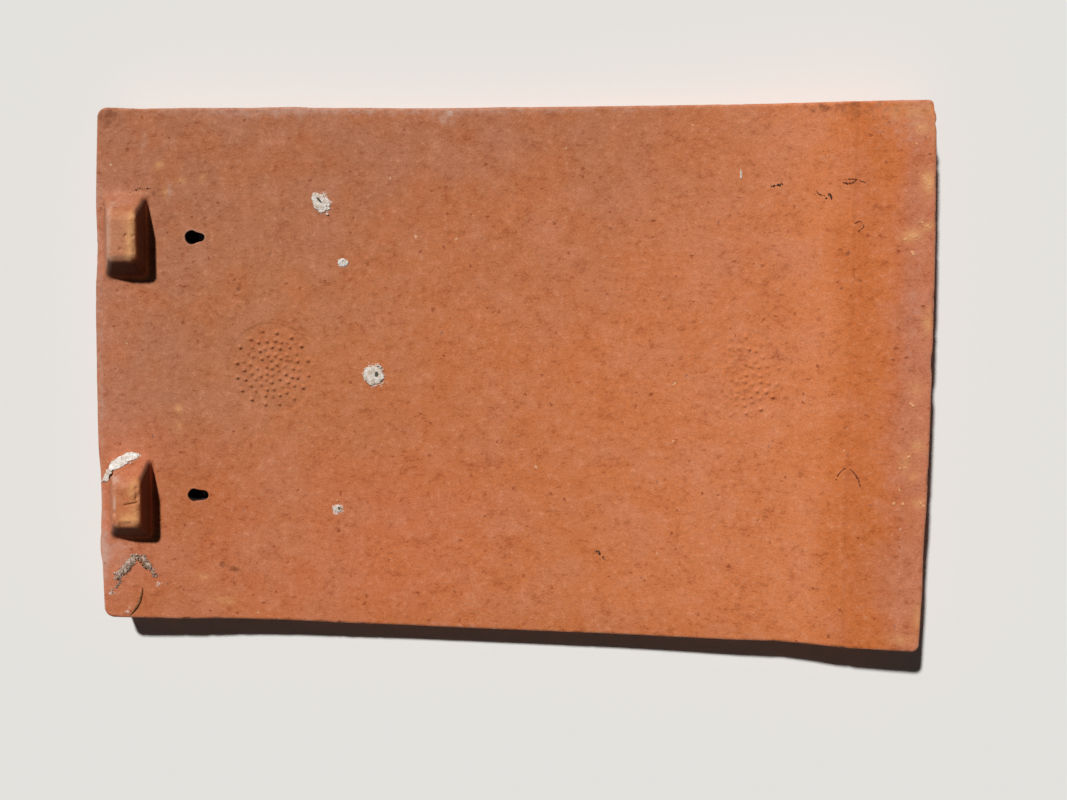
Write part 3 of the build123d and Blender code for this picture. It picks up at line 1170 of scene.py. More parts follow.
def linked(name: str, mesh: bpy.types.Mesh) -> Piece:
    """Turns a mesh from millimetres to metres and links an object of it to the scene.

    Args:
        name: the object's name.
        mesh: the mesh in millimetres.

    Returns:
        The object, at the origin.
    """
    mesh.vertices.foreach_set("co", read_mesh(mesh.vertices, "co", 3).ravel() * METRES)
    mesh.update()
    piece = bpy.data.objects.new(name, mesh)
    bpy.context.scene.collection.objects.link(piece)
    return piece


class Crust(Enum):
    """What a deposit on the clay is made of."""

    LIME = "lime"
    MORTAR = "mortar"
    LICHEN = "lichen"
    SOOT = "soot"
    FLAKE = "flake"
    ROOT = "root"
    THREAD = "thread"


@dataclass(frozen=True)
class Deposit:
    """A thin crust on the clay: a ragged disc bent along a short path and laid on the surface."""

    name: str
    crust: Crust
    path: Bend
    breadth: float
    height: float
    ragged: float
    seed: int
    crater: tuple[float, float, float, float] = (0.0, 0.0, 0.0, 0.0)
    rings: int = 14
    spokes: int = 64
    sink: float = 0.35
    rim_sink: float = 0.08
    least: float = 0.75
    lumpiness: float = 0.6
    crown: float = 0.8
    pit_depth: float = 0.9
    pit_rim: Spot = (0.7, 1.1)
    fray: float = 0.3
    rim_reach: float = 1.7
    rim_wave: float = 0.9
    lump_wave: float = 1.5
    floor_steps: int = 4

    def build(self, form: TileForm, nibs: tuple[Nib, ...]) -> Piece:
        """Builds the crust as a closed shell: a lumpy dome over the surface and a floor sunk in it.

        A disc of radius 1 with a ragged rim is laid along a quadratic curve through the path. The dome's
        height is 1 less the radius cubed, times lumps of noise. The crater is an ellipse of the disc, given
        by its middle and its reaches, where the crust is missing.

        Args:
            form: the tile's form.
            nibs: the nibs that the crust may lie on.

        Returns:
            The crust's object.
        """
        way = ways(round_angles(self.spokes))
        noise = ClayNoise(self.seed)
        circle = np.column_stack([way * self.rim_reach, np.zeros(self.spokes)])
        rim = 1 + self.ragged * noise.layered(circle, self.rim_wave, 3)
        top, floor = np.linspace(0, 1, self.rings + 1)[1:], np.linspace(1, 0, self.floor_steps)[1:-1]
        share = np.concatenate([top, floor])[:, None]
        disc = way * (rim * share)[..., None]
        x, y = self.laid(self.path, self.breadth, disc)
        surface = self.surface(form, nibs, x, y)
        flat = np.column_stack([x.ravel(), y.ravel(), np.zeros(x.size)])
        lumps = noise.layered(flat, self.lump_wave, 3).reshape(x.shape)
        pit = self.pit(disc, lumps)
        on_top = np.arange(len(share))[:, None] < self.rings - 1
        dome = self.height * (1 - share**3) * (self.least + self.lumpiness * lumps)
        lift = np.where(on_top, dome - pit * self.height * self.pit_depth, -self.sink)
        lift[self.rings - 1] = -self.rim_sink
        shell = Shell(("pit",))
        numbers = shell.add(np.stack([x, y, surface + lift], axis=-1), pit=pit * on_top)
        spot = np.zeros((1, 1, 2))
        x, y = self.laid(self.path, self.breadth, spot)
        middle = self.surface(form, nibs, x, y)
        in_pit = self.pit(spot, np.zeros((1, 1)))
        crown = self.height * self.crown * (1 - self.pit_depth * in_pit)
        top = shell.add(np.stack([x, y, middle + crown], axis=-1), pit=in_pit)
        bottom = shell.add(np.stack([x, y, middle - self.sink], axis=-1))
        shell.close(numbers, int(top[0, 0]), int(bottom[0, 0]))
        return linked(self.name, shell.mesh(self.name))

    def pit(self, disc: Array, lumps: Array) -> Array:
        """Gives 1 inside the crater and 0 outside it, from the distance in units of its reaches.

        Args:
            disc: points of the disc of radius 1.
            lumps: noise that frays the crater's rim.

        Returns:
            The share of crater at each point.
        """
        along, across, reach_along, reach_across = self.crater
        if reach_along == 0:
            return np.zeros(lumps.shape)
        away = np.hypot((disc[..., 0] - along) / reach_along, (disc[..., 1] - across) / reach_across)
        return 1 - smooth_step(*self.pit_rim, away + self.fray * lumps)

    @staticmethod
    def laid(path: Bend, breadth: float, disc: Array) -> Pair:
        """Lays points of a disc along a path: the first coordinate runs along it, the other across.

        Args:
            path: the quadratic curve.
            breadth: how wide the disc becomes.
            disc: points of the disc of radius 1, with x and y on the last axis.

        Returns:
            Their places along and across the tile.
        """
        start, middle, end = np.reshape(path, (3, 2))
        t = (disc[..., :1] + 1) / 2
        curve = (1 - t) ** 2 * start + 2 * t * (1 - t) * middle + t**2 * end
        tangent = 2 * (1 - t) * (middle - start) + 2 * t * (end - middle)
        tangent = tangent / np.linalg.norm(tangent, axis=-1, keepdims=True)
        across = np.stack([-tangent[..., 1], tangent[..., 0]], axis=-1)
        places = curve + across * disc[..., 1:] * breadth / 2
        return places[..., 0], places[..., 1]

    @staticmethod
    def surface(form: TileForm, nibs: tuple[Nib, ...], x: Array, y: Array) -> Array:
        """Height of the clay over a place: the underside or a nib, whichever is higher."""
        heights = [form.under_height(x)] + [nib.top_height(form, x, y) for nib in nibs]
        return np.maximum.reduce(heights)


@dataclass(frozen=True)
class CrumbHeap:
    """Crumbs stuck to the clay along a bent line: many small broken grains in one piece."""

    name: str
    crust: Crust
    path: Bend
    breadth: float
    count: int
    sizes: Spot
    seed: int
    thickness: float = 1.0
    settle: float = 0.0
    rings: int = 5
    spokes: int = 9
    least: tuple[float, ...] = (0.7, 0.7, 0.5)
    most: tuple[float, ...] = (1.3, 1.3, 0.8)
    lumpiness: float = 0.38
    lump_wave: float = 0.8
    lean: float = 2.2
    scatter: float = 0.45
    stand: float = 0.35

    def build(self, form: TileForm, nibs: tuple[Nib, ...]) -> Piece:
        """Builds the heap: each grain is a ball with a lumpy radius, stretched, turned and sunk a little.

        The grains are spread evenly along the line and as a bell across it. Most are small: a grain's
        share of the way from the least to the largest size is a random value to the power of the lean.

        Args:
            form: the tile's form.
            nibs: the nibs that the crumbs may lie on.

        Returns:
            The heap's object.
        """
        rng = np.random.default_rng(self.seed)
        along = rng.uniform(-1, 1, self.count)
        across = np.clip(rng.normal(0, self.scatter, self.count), -1, 1) * np.sqrt(1 - 0.8 * along**2)
        x, y = Deposit.laid(self.path, self.breadth, np.stack([along, across], axis=-1)[None])
        z = Deposit.surface(form, nibs, x, y)[0] - self.settle
        middles = np.column_stack([x[0], y[0], z])
        tall = np.linspace(0, np.pi, self.rings + 2)[1:-1, None, None]
        flat = np.sin(tall) * ways(round_angles(self.spokes))
        ball = np.concatenate([flat, np.cos(tall) * np.ones((self.spokes, 1))], axis=-1)
        poles = np.array([[[0.0, 0.0, 1.0]], [[0.0, 0.0, -1.0]]])
        shell = Shell(("pit",))
        low, high = self.sizes
        for middle in middles:
            size = (low + (high - low) * rng.uniform() ** self.lean) / 2
            stretch = size * rng.uniform(self.least, self.most) * (1.0, 1.0, self.thickness)
            cos, sin = ways(rng.uniform(0, np.pi))
            turned = np.array([[cos, sin, 0], [-sin, cos, 0], [0, 0, 1]])
            lumps = ClayNoise(int(rng.integers(1 << 30)), 8)

            def shaped(unit: Array) -> Array:
                """Scales unit directions by the lumps, stretches and turns them, and sets them down."""
                flat = unit.reshape(-1, 3)
                radius = 1 + self.lumpiness * lumps.at(flat, self.lump_wave)
                laid = (flat * radius[:, None] * stretch) @ turned
                return (laid + middle + np.array([0, 0, stretch[2] * self.stand])).reshape(unit.shape)

            numbers = shell.add(shaped(ball))
            ends = shell.add(shaped(poles))
            shell.close(numbers, int(ends[0, 0]), int(ends[1, 0]))
        return linked(self.name, shell.mesh(self.name))


def operator(kind: str, swapped: bool = False) -> Callable[["Field", Number], "Field"]:
    """Makes the method behind an operator, which adds a Math node for a field and another value.

    Args:
        kind: the node's operation.
        swapped: whether the other value comes first.

    Returns:
        The method.
    """

    def method(self: "Field", other: Number) -> "Field":
        """Adds the Math node."""
        first, second = (other, self) if swapped else (self, other)
        node = self.shader.node("Math", {0: first, 1: second}, operation=kind)
        return Field(self.shader, node.outputs[0])

    return method


class Field:
    """A value that changes over a surface. Sums and products of fields add Math nodes to its shader."""

    def __init__(self, shader: "Shader", socket: Socket) -> None:
        """Wraps an output socket of the shader's node tree."""
        self.shader = shader
        self.socket = socket

    __add__, __radd__ = operator("ADD"), operator("ADD", swapped=True)
    __sub__, __rsub__ = operator("SUBTRACT"), operator("SUBTRACT", swapped=True)
    __mul__, __truediv__ = operator("MULTIPLY"), operator("DIVIDE")

    def rise(self, low: float, high: float) -> "Field":
        """Rises smoothly from 0 where the value is low to 1 where it is high."""
        inputs = {"Value": self, "From Min": low, "From Max": high}
        node = self.shader.node("MapRange", inputs, interpolation_type="SMOOTHSTEP")
        return Field(self.shader, node.outputs["Result"])

    def fall(self, low: float, high: float) -> "Field":
        """Falls smoothly from 1 where the value is low to 0 where it is high."""
        return 1.0 - self.rise(low, high)


def srgb(red: float, green: float, blue: float) -> Colour:
    """Turns a colour as screens write it, 0 to 255, into the linear values that shaders use."""
    values = np.array([red, green, blue]) / 255.0
    linear = np.where(values <= 0.04045, values / 12.92, ((values + 0.055) / 1.055) ** 2.4)
    return float(linear[0]), float(linear[1]), float(linear[2]), 1.0


class Shader:
    """A material under construction: its node tree and the ways to add nodes to it."""

    def __init__(self, name: str) -> None:
        """Starts the named material with a plain shader and coordinates in millimetres."""
        self.material = bpy.data.materials.new(name)
        self.material.use_nodes = True
        self.tree = self.material.node_tree
        self.surface = self.tree.nodes["Principled BSDF"]
        self.place = self.scaled(self.node("TexCoord", {}).outputs["Object"], 1 / METRES)

    def node(self, kind: str, inputs: dict[Any, Any], **settings: Any) -> bpy.types.Node:
        """Adds a node.

        Args:
            kind: the node's type, without the ShaderNode that each type's name begins with.
            inputs: values or links for its sockets, by name or number.
            settings: its own settings, such as an operation, which are set first.

        Returns:
            The node.
        """
        node = self.tree.nodes.new("ShaderNode" + kind)
        for name, value in settings.items():
            setattr(node, name, value)
        for key, value in inputs.items():
            self.join(value, node.inputs[key])
        return node

    def join(self, value: Any, socket: Socket) -> None:
        """Links a field or a socket to an input, or writes a plain value into it."""
        if isinstance(value, Field):
            self.tree.links.new(value.socket, socket)
        elif isinstance(value, Socket):
            self.tree.links.new(value, socket)
        else:
            socket.default_value = value

    def mask(self, name: str) -> Field:
        """Reads one of the mesh's masks."""
        return Field(self, self.node("Attribute", {}, attribute_name=name).outputs["Fac"])

    def axis(self, name: str) -> Field:
        """Reads one coordinate in millimetres."""
        return Field(self, self.node("SeparateXYZ", {0: self.place}).outputs[name])

    def moved(self, shift: float, squeeze: float = 1.0) -> Socket:
        """Gives the coordinates scaled along x and moved far away, where noise has another pattern."""
        inputs = {"Vector": self.place, "Location": (shift, -shift, 2 * shift), "Scale": (squeeze, 1, 1)}
        return self.node("Mapping", inputs, vector_type="POINT").outputs["Vector"]

    def scaled(self, vector: Any, factor: Number) -> Socket:
        """Scales a vector or a colour by a factor."""
        return self.node("VectorMath", {0: vector, "Scale": factor}, operation="SCALE").outputs["Vector"]

    def warped(self, place: Socket, noise: Field, reach: float) -> Socket:
        """Moves coordinates by a noise's three values, up to about half a reach each way."""
        inputs = {0: place, 1: self.scaled(noise.socket.node.outputs["Color"], reach)}
        return self.node("VectorMath", inputs, operation="ADD").outputs["Vector"]

    def noise(
        self, wavelength: float, detail: float, shift: float, squeeze: float = 1.0, roughness: float = 0.6
    ) -> Field:
        """Adds noise from 0 to 1.

        Args:
            wavelength: the size of its patches in millimetres.
            detail: how many finer layers it has.
            shift: how far the coordinates are moved, so that each noise has its own pattern.
            squeeze: scales them along x.
            roughness: how strong the finer layers are.

        Returns:
            The noise.
        """
        inputs = {"Scale": 1.0 / wavelength, "Detail": detail, "Roughness": roughness}
        inputs["Vector"] = self.moved(shift, squeeze)
        return Field(self, self.node("TexNoise", inputs, noise_dimensions="3D").outputs["Fac"])

    def grains(self, spacing: float, radius: float, place: Socket) -> tuple[Field, Field]:
        """Scatters round grains: one in each cell of a Voronoi pattern, with a random value.

        Args:
            spacing: the cells' size in millimetres.
            radius: the grains' radius in millimetres.
            place: the coordinates.

        Returns:
            A field that is 1 in the middle of a grain and 0 outside it, and the cells' random values.
        """
        inputs = {"Vector": place, "Scale": 1.0 / spacing}
        node = self.node("TexVoronoi", inputs, voronoi_dimensions="3D", feature="F1")
        near = Field(self, node.outputs["Distance"]).fall(0.0, radius / spacing)
        split = self.node("SeparateColor", {0: node.outputs["Color"]})
        return near, Field(self, split.outputs[0])

    def coat(self, colour: Any, *coats: tuple[Number, Any]) -> Socket:
        """Lays coats over a colour, one after the other.

        Args:
            colour: the first colour, as a value or a socket.
            coats: pairs of a share and a colour, which covers that share of what lies under it.

        Returns:
            The mixed colour.
        """
        for share, tone in coats:
            node = self.node("Mix", {}, data_type="RGBA")
            self.join(share, node.inputs["Factor"])
            under, over = (socket for socket in node.inputs if socket.type == "RGBA")
            self.join(colour, under)
            self.join(tone, over)
            colour = next(socket for socket in node.outputs if socket.type == "RGBA")
        return colour

    def ramp(self, place: Field, stops: tuple[tuple[float, Colour], ...]) -> Socket:
        """Adds a colour ramp.

        Args:
            place: where on the ramp to read, 0 to 1.
            stops: pairs of a place and a colour.

        Returns:
            The colour.
        """
        node = self.node("ValToRGB", {"Fac": place})
        elements = node.color_ramp.elements
        while len(elements) < len(stops):
            elements.new(0.5)
        for element, (position, colour) in zip(elements, stops):
            element.position = position
            element.color = colour
        return node.outputs["Color"]

    def finish(self, colour: Any, roughness: Any, height: Field, depth: float) -> bpy.types.Material:
        """Links the colour, the roughness and a bump to the surface.

        Args:
            colour: the base colour.
            roughness: the roughness.
            height: the bump's height, 0 to 1.
            depth: what a height of 1 is, in millimetres.

        Returns:
            The finished material.
        """
        bump = self.node("Bump", {"Height": height, "Distance": depth * METRES, "Strength": 1.0})
        self.join(colour, self.surface.inputs["Base Color"])
        self.join(roughness, self.surface.inputs["Roughness"])
        self.join(bump.outputs["Normal"], self.surface.inputs["Normal"])
        self.surface.inputs["Specular IOR Level"].default_value = SHEEN
        return self.material


@dataclass(frozen=True)
class FiredClay:
    """The clay: orange with rosier and browner patches, pressed dents, and the marks of the masks."""

    zones: tuple[tuple[float, Colour], ...] = (
        (0.0, srgb(177, 111, 80)), (0.1, srgb(171, 106, 70)), (0.25, srgb(179, 109, 68)),
        (0.42, srgb(187, 108, 62)), (0.6, srgb(195, 112, 64)), (0.78, srgb(201, 117, 70)),
        (0.875, srgb(205, 119, 70)), (0.9, srgb(199, 109, 55)), (0.945, srgb(199, 110, 57)),
        (0.962, srgb(190, 107, 66)), (1.0, srgb(192, 112, 74)),
    )
    tail: Colour = srgb(186, 116, 88)
    shade: Colour = srgb(165, 102, 69)
    rosy: Colour = srgb(218, 148, 118)
    clouded: Colour = srgb(190, 130, 108)
    russet: Colour = srgb(190, 100, 46)
    umber: Colour = srgb(148, 58, 8)
    ember: Colour = srgb(206, 108, 64)
    bright: Colour = srgb(232, 166, 132)
    grain: Colour = srgb(132, 42, 0)
    pale: Colour = srgb(230, 190, 156)
    flint: Colour = srgb(112, 80, 74)
    film: Colour = srgb(196, 160, 144)
    ochre: Colour = srgb(222, 162, 104)
    warm: Colour = srgb(174, 95, 44)
    # dirt, and painted shade at the feet of the key pads' studs
    dirt: Colour = srgb(118, 60, 32)
    fresh: Colour = srgb(232, 122, 48)
    lime: Colour = srgb(238, 226, 220)
    chalk: Colour = srgb(204, 184, 162)
    # painted shade: near-black brown for the nib faces and hole walls that lie in shadow
    deep: Colour = srgb(46, 30, 24)

    def build(self) -> bpy.types.Material:
        """Builds the material: zones along the tile, patches, dents, then the marks of age.

        Returns:
            The material.
        """
        shader = Shader("fired_clay")
        drift = shader.noise(40.0, 1.0, 300.0)
        clouds = shader.noise(17.0, 2.0, 1100.0)
        patches = shader.noise(5.4, 3.0, 0.0, 0.85)
        press = shader.noise(1.9, 3.0, 500.0, 0.95, 0.68)
        sand = shader.noise(0.5, 1.0, 700.0)
        crumb = shader.noise(2.4, 3.0, 900.0)
        stones, sort = shader.grains(4.4, 0.8, shader.warped(shader.moved(400.0), press, 2.6))
        dents = (press + (patches - 0.5) * 0.4).fall(0.26, 0.44)
        knobs = (press - (patches - 0.5) * 0.3).rise(0.66, 0.76)
        dark = stones.rise(0.05, 0.6) * sort.fall(0.3, 0.7)
        light = stones.rise(0.3, 0.7) * sort.rise(0.93, 0.95)
        flints = stones.rise(0.15, 0.6) * sort.rise(0.84, 0.86) * sort.fall(0.9, 0.92)
        x = shader.axis("X")
        along = x / TileForm.length + 0.5 + (drift - 0.5) * 0.06 + (patches - 0.5) * 0.03
        edge = x + (press - 0.5) * 2.4
        under = shader.axis("Z").rise(9.0, 11.0)
        across = shader.axis("Y") + (drift - 0.5) * 60.0
        upper = across.rise(0.0, 84.0) * along.fall(0.55, 0.95)
        lower = across.fall(-60.0, -5.0) * along.fall(0.35, 0.6)
        colour = shader.coat(
            shader.ramp(along, self.zones),
            (edge.rise(109.6, 110.8) * edge.fall(113.0, 127.0) * under * 0.5, self.russet),
            (edge.rise(124.6, 127.4) * under * 0.35, self.tail),
            (upper * 0.8, self.shade),
            (lower * 0.4, self.ember),
            (shader.mask("warm"), self.warm),
            (clouds.rise(0.46, 0.68) * 0.13, self.clouded),
            (clouds.fall(0.34, 0.54) * 0.22, self.russet),
            (patches.rise(0.48, 0.75) * 0.17, self.rosy),
            (patches.fall(0.25, 0.5) * 0.18, self.umber),
            (press.rise(0.5, 0.8) * 0.3, self.bright),
            (press.fall(0.2, 0.48) * 0.24, self.umber),
        )
        haze = (shader.mask("haze") + (crumb - 0.5) * 0.9).rise(0.22, 1.0)
        ochre = shader.mask("ochre")
        # pale film on the rims: partly wear, partly a painted highlight along the rounded edges
        wear = shader.mask("wear") * (1.0 - ochre) * press.rise(0.3, 0.75)
        # dirt patches, and painted shade at the feet of the key pads' studs
        dirt = (shader.mask("dirt") + (crumb - 0.5) * 1.0).rise(0.3, 0.75)
        lime = (shader.mask("lime") + (press - 0.5) * 1.3 + (sand - 0.5) * 0.5).rise(0.38, 0.7)
        colour = shader.coat(
            shader.scaled(colour, (sand - 0.5) * 0.6 + 1.0),
            (dents * 0.2, self.grain),
            (dark * 0.52, self.grain),
            (light * 0.6, self.pale),
            (flints * 0.58, self.flint),
            (haze * 0.75, self.film),
            (ochre * ((crumb - 0.5) * 2.0 + 0.7), self.ochre),
            (wear * 0.3, self.film),
            (dirt * 0.8, self.dirt),
            (lime * 0.92, shader.coat(self.lime, (crumb.rise(0.42, 0.62), self.chalk))),
            (shader.mask("fresh"), self.fresh),
            # painted shade on the nibs' shadowed faces and inside the nail holes
            (shader.mask("deep"), self.deep),
        )
        roughness = 0.8 + (press - 0.5) * 0.2 + haze * 0.12
        height = press * 0.2 + sand * 0.05 + knobs * 0.04 + lime * 0.12 - dents * 0.06 - dark * 0.12
        return shader.finish(colour, roughness, height, 1.0)


@dataclass(frozen=True)
class CrustFinish:
    """A crumbly deposit: a pale tone with darker pits and grey or brown crumbs."""

    name: str
    body: Colour
    shade: Colour
    pits: Colour
    depth: float
    specks: float

    def build(self) -> bpy.types.Material:
        """Builds the material.

        Returns:
            The material.
        """
        shader = Shader(self.name)
        cloud = shader.noise(1.3, 3.0, 100.0)
        crumbs = shader.noise(0.5, 2.0, 600.0)
        colour = shader.coat(
            self.body,
            (cloud.rise(0.4, 0.65), self.shade),
            (crumbs.rise(self.specks, self.specks + 0.16), self.pits),
            (shader.mask("pit"), self.pits),
        )
        height = cloud * 0.5 + crumbs.fall(0.35, 0.7) * 0.5
        return shader.finish(colour, 0.85 + (crumbs - 0.5) * 0.15, height, self.depth)


CRUST_FINISHES = {
    crust: CrustFinish(f"{crust.value}_crust", srgb(*body), srgb(*shade), srgb(*pits), depth, specks)
    for crust, body, shade, pits, depth, specks in (
        (Crust.LIME, (228, 218, 208), (198, 178, 158), (82, 74, 60), 0.25, 0.62),
        (Crust.MORTAR, (242, 238, 232), (206, 194, 180), (92, 84, 68), 0.3, 0.64),
        (Crust.LICHEN, (198, 172, 154), (152, 124, 106), (88, 68, 52), 0.3, 0.49),
        (Crust.FLAKE, (226, 164, 114), (212, 146, 98), (190, 120, 76), 0.1, 0.6),
        (Crust.ROOT, (136, 92, 56), (104, 66, 38), (66, 42, 28), 0.2, 0.6),
        (Crust.THREAD, (112, 54, 30), (92, 44, 24), (72, 36, 20), 0.2, 0.6),
        (Crust.SOOT, (74, 52, 42), (54, 38, 32), (34, 26, 24), 0.2, 0.55),
    )
}

NIBS = (Nib(side=1), Nib(side=-1, batten_face_x=-116.1, ochre=0.45, haze=0.2))
NAIL_HOLES = (
    NailHole(side=1, slot_radius=1.15, slot_reach=3.1, seed=31, radius=2.1),
    NailHole(side=-1, slot_radius=1.45, slot_reach=3.2, seed=37, radius=1.9),
)
KEY_PADS = (
    KeyPad(middle_x=-75.5, strength=1.0, seed=41),
    KeyPad(middle_x=76.5, strength=0.7, seed=43, sunk=0.07, fade=(-14.0, 5.0)),
)
# The curve, the breadth and the number of grains of each heap
TAIL_FLAKES = (
    ((127.6, 77.6, 129, 76.6, 130.2, 75.2), 1.2, 8), ((126.6, 72, 127.3, 71.9, 128, 71.6), 0.6, 4),
    ((130.2, 62.2, 131.5, 60.4, 131.8, 57.6), 2.4, 14), ((129.6, 48.6, 131.2, 48, 133, 46), 0.9, 10),
    ((125.2, 42.4, 127, 43.6, 128.8, 44.8), 1.8, 14), ((127.6, 39.2, 127.9, 38.6, 128.2, 37.8), 0.5, 4),
    ((131.4, -18, 132.2, -19.6, 131.8, -21.2), 0.6, 6), ((127.2, -22.4, 128.4, -23.2, 129, -24.4), 0.8, 6),
    ((126, -27.4, 127.2, -27.4, 128.2, -26.8), 0.6, 5), ((126, -32.4, 126.1, -33.6, 125.9, -35), 0.6, 5),
    ((123.4, -38.4, 125.4, -38.3, 127.8, -38.4), 0.4, 8), ((132, -37.4, 133, -38, 133.4, -39), 0.9, 6),
    ((128, -6.4, 128.4, -7.4, 129.4, -7.8), 0.6, 5),
)
ROOTLETS = (
    ((106.9, -31.8, 107.9, -28.6, 109.8, -27.8), 0.35, 44),
    ((111, -28, 113.4, -29.4, 114.4, -33.4), 0.35, 64), ((106.5, 60.2, 109, 59.1, 110.6, 61.2), 0.6, 64),
    ((106.7, 60.9, 110.3, 62, 114.1, 59.4), 0.35, 50), ((98.7, 58.1, 99.5, 56.1, 101.2, 56.3), 0.35, 26),
    ((110.5, 47.7, 112.4, 49.4, 113.2, 46.7), 0.5, 36), ((113.1, 46.6, 112.1, 45.8, 111.5, 45.1), 0.4, 20),
)
# The values follow the fields of Deposit and of CrumbHeap
DEPOSITS = (
    *starmap(Deposit, (
        ("lime_spot_1", Crust.LIME, (-61, 56.4, -58.8, 54.1, -56.6, 51.4),
         5.2, 0.2, 0.4, 51, (-0.3, 0.06, 0.46, 0.14)),
        ("lime_spot_2", Crust.MORTAR, (-53.3, 35, -51.6, 35, -49.8, 34.6),
         2.5, 0.3, 0.3, 52, (0, 0.35, 0.16, 0.14)),
        ("lime_spot_3", Crust.LIME, (-44.5, -1.4, -41.2, -1.9, -37.9, -2.3),
         6, 0.34, 0.35, 53, (0.24, 0.16, 0.2, 0.34)),
        ("lime_spot_4", Crust.LIME, (-54.9, -46, -53.5, -46.1, -52, -45.9),
         2.5, 0.35, 0.35, 54, (0.5, 0, 0.34, 0.4)),
        ("lime_fleck", Crust.LIME, (75.8, 61.4, 75.9, 63, 75.6, 64.6), 0.8, 0.25, 0.3, 55),
        ("nib_mortar", Crust.MORTAR, (-128.4, -34, -125.4, -30.2, -120.4, -29.2), 4, 1.2, 0.35, 56),
        ("nib_mortar_foot", Crust.LIME, (-133, -39, -130.8, -35.6, -127, -33.2), 3, 0.35, 0.7, 74),
        ("corner_crust_1", Crust.LICHEN, (-128.4, -70.8, -125.6, -67.6, -121.6, -63.6), 2.9, 0.6, 0.8, 60),
        ("corner_crust_2", Crust.LICHEN, (-120.8, -63.8, -118.6, -65.8, -115.6, -69.8), 2.4, 0.6, 0.8, 72),
        ("corner_strand", Crust.ROOT, (-119.9, -74.8, -120.3, -79.6, -124, -83.4), 0.9, 0.5, 0.35, 59),
    )),
    *starmap(CrumbHeap, (
        ("lime_crumbs_1", Crust.LIME, (-61.4, 57, -58.8, 54.4, -56.6, 50.4), 6.6, 14, (0.2, 0.7), 61),
        ("lime_crumbs_2", Crust.LIME, (-44.8, -0.4, -41.2, -1.6, -37.6, -3.2), 7.4, 18, (0.2, 0.8), 62),
        ("lime_crumbs_3", Crust.LIME, (-40.4, 1.9, -39.2, 1.2, -38.2, 0), 0.9, 10, (0.4, 1), 63),
        ("lime_pit_grains", Crust.SOOT, (-39.9, -1.2, -39.2, -2.6, -38.6, -3.6), 1.6, 12, (0.2, 0.7), 75),
        ("lime_crumbs_4", Crust.FLAKE, (-54, -43.4, -53.4, -43.2, -52.8, -43.3), 0.8, 4, (0.3, 0.7), 71),
        ("nib_mortar_crumbs", Crust.MORTAR, (-132.6, -38.6, -125.6, -33.2, -119.6, -29.8),
         2.4, 50, (0.25, 0.8), 64),
        ("corner_crumbs_1", Crust.LICHEN, (-129, -71.8, -125.6, -67.4, -121.2, -63.4),
         4.2, 110, (0.25, 1), 65, 0.8, 0.1),
        ("corner_crumbs_3", Crust.LICHEN, (-121.2, -63.4, -118.4, -65.8, -115, -70.4),
         3.4, 75, (0.25, 0.95), 73, 0.8, 0.1),
        ("corner_crumbs_2", Crust.LICHEN, (-131, -76.6, -129.2, -74.2, -127.2, -72),
         1.6, 34, (0.25, 0.8), 66, 0.8, 0.1),
        ("corner_grit_1", Crust.ROOT, (-128.8, -71.4, -125.2, -68, -120.8, -63.8),
         3.6, 34, (0.25, 0.8), 76, 0.8, -0.2),
        ("corner_grit_2", Crust.ROOT, (-120.6, -64.4, -118.6, -66.2, -115.6, -69.8),
         2.6, 22, (0.25, 0.8), 77, 0.8, -0.2),
        ("head_crumbs", Crust.SOOT, (-123.2, 56.4, -119, 59.4, -115.4, 58.4), 1, 16, (0.2, 0.5), 67),
        ("dark_chips_1", Crust.SOOT, (85.2, 59.2, 87, 59.7, 88.6, 59.9),
         0.7, 22, (0.25, 0.75), 68, 0.7, 0.1),
        ("dark_chips_2", Crust.SOOT, (101.8, 55.3, 102.6, 58.2, 103.5, 55),
         0.7, 26, (0.25, 0.7), 69, 0.7, 0.1),
    )),
    *(
        CrumbHeap(f"tail_flakes_{k}", Crust.FLAKE, path, breadth, count, (0.25, 0.95), 80 + k, 0.16, 0.12)
        for k, (path, breadth, count) in enumerate(TAIL_FLAKES, 1)
    ),
    *(
        CrumbHeap(f"rootlet_{k}", Crust.THREAD, path, breadth, count, (0.18, 0.42), 100 + k, 0.6, 0.08)
        for k, (path, breadth, count) in enumerate(ROOTLETS, 1)
    ),
    CrumbHeap("dark_chips_3", Crust.SOOT, (32.4, -57.2, 33.8, -58.2, 34.8, -60.2),
              1.2, 18, (0.2, 0.7), 70, 0.7, 0.1),
)


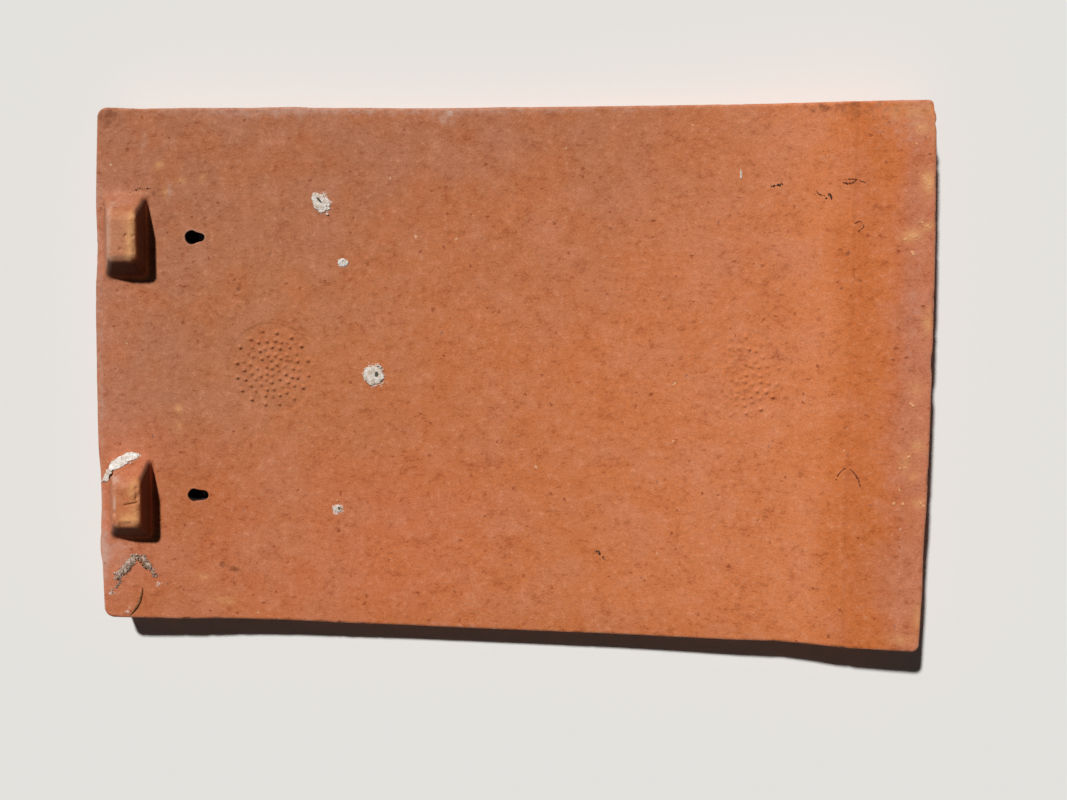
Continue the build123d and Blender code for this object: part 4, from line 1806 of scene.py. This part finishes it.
@dataclass(frozen=True)
class Studio:
    """The pale floor, the soft key light, the even fill and the camera at the photograph's angle."""

    floor_size: float = 6.0
    floor_tone: Colour = srgb(226, 224, 220)
    floor_roughness: float = 0.9
    floor_sheen: float = 0.1
    sun_way: tuple[float, float, float] = (0.24, -0.68, -1.0)
    sun_strength: float = 3.8
    sun_angle: float = 3.5
    sun_place: tuple[float, float, float] = (-0.2, 0.8, 1.3)
    fill: float = 0.03
    backdrop: float = 0.9
    camera_place: tuple[float, float, float] = (0.06406, 0.02411, 0.43181)
    camera_turn: tuple[float, float, float] = (-0.0769256, 0.125378, 0.0150924)
    lens: float = 44.44
    sensor: float = 36.0
    nearest: float = 0.01

    def build(self) -> None:
        """Sets up the floor, the lights, the world and the camera."""
        self.build_floor()
        self.build_lights()
        self.build_camera()
        bpy.context.scene.view_settings.view_transform = "Standard"

    def build_floor(self) -> None:
        """Lays a plain pale floor under the tile."""
        half = self.floor_size / 2
        corners = [(-half, -half, 0), (half, -half, 0), (half, half, 0), (-half, half, 0)]
        mesh = bpy.data.meshes.new("floor")
        mesh.from_pydata(corners, [], [(0, 1, 2, 3)])
        floor = bpy.data.objects.new("floor", mesh)
        bpy.context.scene.collection.objects.link(floor)
        material = bpy.data.materials.new("floor")
        material.use_nodes = True
        surface = material.node_tree.nodes["Principled BSDF"]
        surface.inputs["Base Color"].default_value = self.floor_tone
        surface.inputs["Roughness"].default_value = self.floor_roughness
        surface.inputs["Specular IOR Level"].default_value = self.floor_sheen
        mesh.materials.append(material)

    def build_lights(self) -> None:
        """Hangs the key light and fills the world with an even pale light."""
        lamp = bpy.data.lights.new("key", "SUN")
        lamp.energy = self.sun_strength
        lamp.angle = float(np.radians(self.sun_angle))
        key = bpy.data.objects.new("key", lamp)
        key.rotation_mode = "QUATERNION"
        key.rotation_quaternion = Vector(self.sun_way).to_track_quat("-Z", "Y")
        key.location = self.sun_place
        bpy.context.scene.collection.objects.link(key)
        world = bpy.data.worlds.new("studio")
        world.use_nodes = True
        bpy.context.scene.world = world
        tree = world.node_tree
        background = tree.nodes["Background"]
        background.inputs["Color"].default_value = (1.0, 1.0, 1.0, 1.0)
        rays = tree.nodes.new("ShaderNodeLightPath")
        pick = tree.nodes.new("ShaderNodeMapRange")
        pick.inputs["To Min"].default_value = self.fill
        pick.inputs["To Max"].default_value = self.backdrop
        tree.links.new(rays.outputs["Is Camera Ray"], pick.inputs["Value"])
        tree.links.new(pick.outputs["Result"], background.inputs["Strength"])

    def build_camera(self) -> None:
        """Places the camera where the photograph was taken from."""
        camera = bpy.data.cameras.new("camera")
        camera.sensor_fit = "HORIZONTAL"
        camera.sensor_width = self.sensor
        camera.lens = self.lens
        camera.clip_start = self.nearest
        view = bpy.data.objects.new("camera", camera)
        turn = Vector(self.camera_turn)
        view.rotation_mode = "QUATERNION"
        view.rotation_quaternion = Quaternion(turn.normalized(), turn.length)
        view.location = self.camera_place
        bpy.context.scene.collection.objects.link(view)
        bpy.context.scene.camera = view


def triangles(piece: Piece) -> int:
    """Counts a piece's triangles: its faces' corners less two for each face."""
    return len(piece.data.loops) - 2 * len(piece.data.polygons)


def main() -> None:
    """Builds the tile, its deposits and the studio, and reports each piece."""
    logging.basicConfig(level=logging.INFO, format="%(name)s: %(message)s")
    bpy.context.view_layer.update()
    form = TileForm()
    tile = FiredTile(form, NIBS, NAIL_HOLES, KEY_PADS).build()
    tile.data.materials.append(FiredClay().build())
    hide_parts("roof_tile")
    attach(tile, BODY)
    LOG.info("%s: %d triangles", tile.name, triangles(tile))
    crusts = {crust: finish.build() for crust, finish in CRUST_FINISHES.items()}
    for deposit in DEPOSITS:
        piece = deposit.build(form, NIBS)
        piece.data.materials.append(crusts[deposit.crust])
        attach(piece, BODY)
        LOG.info("%s: %d triangles", piece.name, triangles(piece))
    Studio().build()


if __name__ == "__main__":
    main()
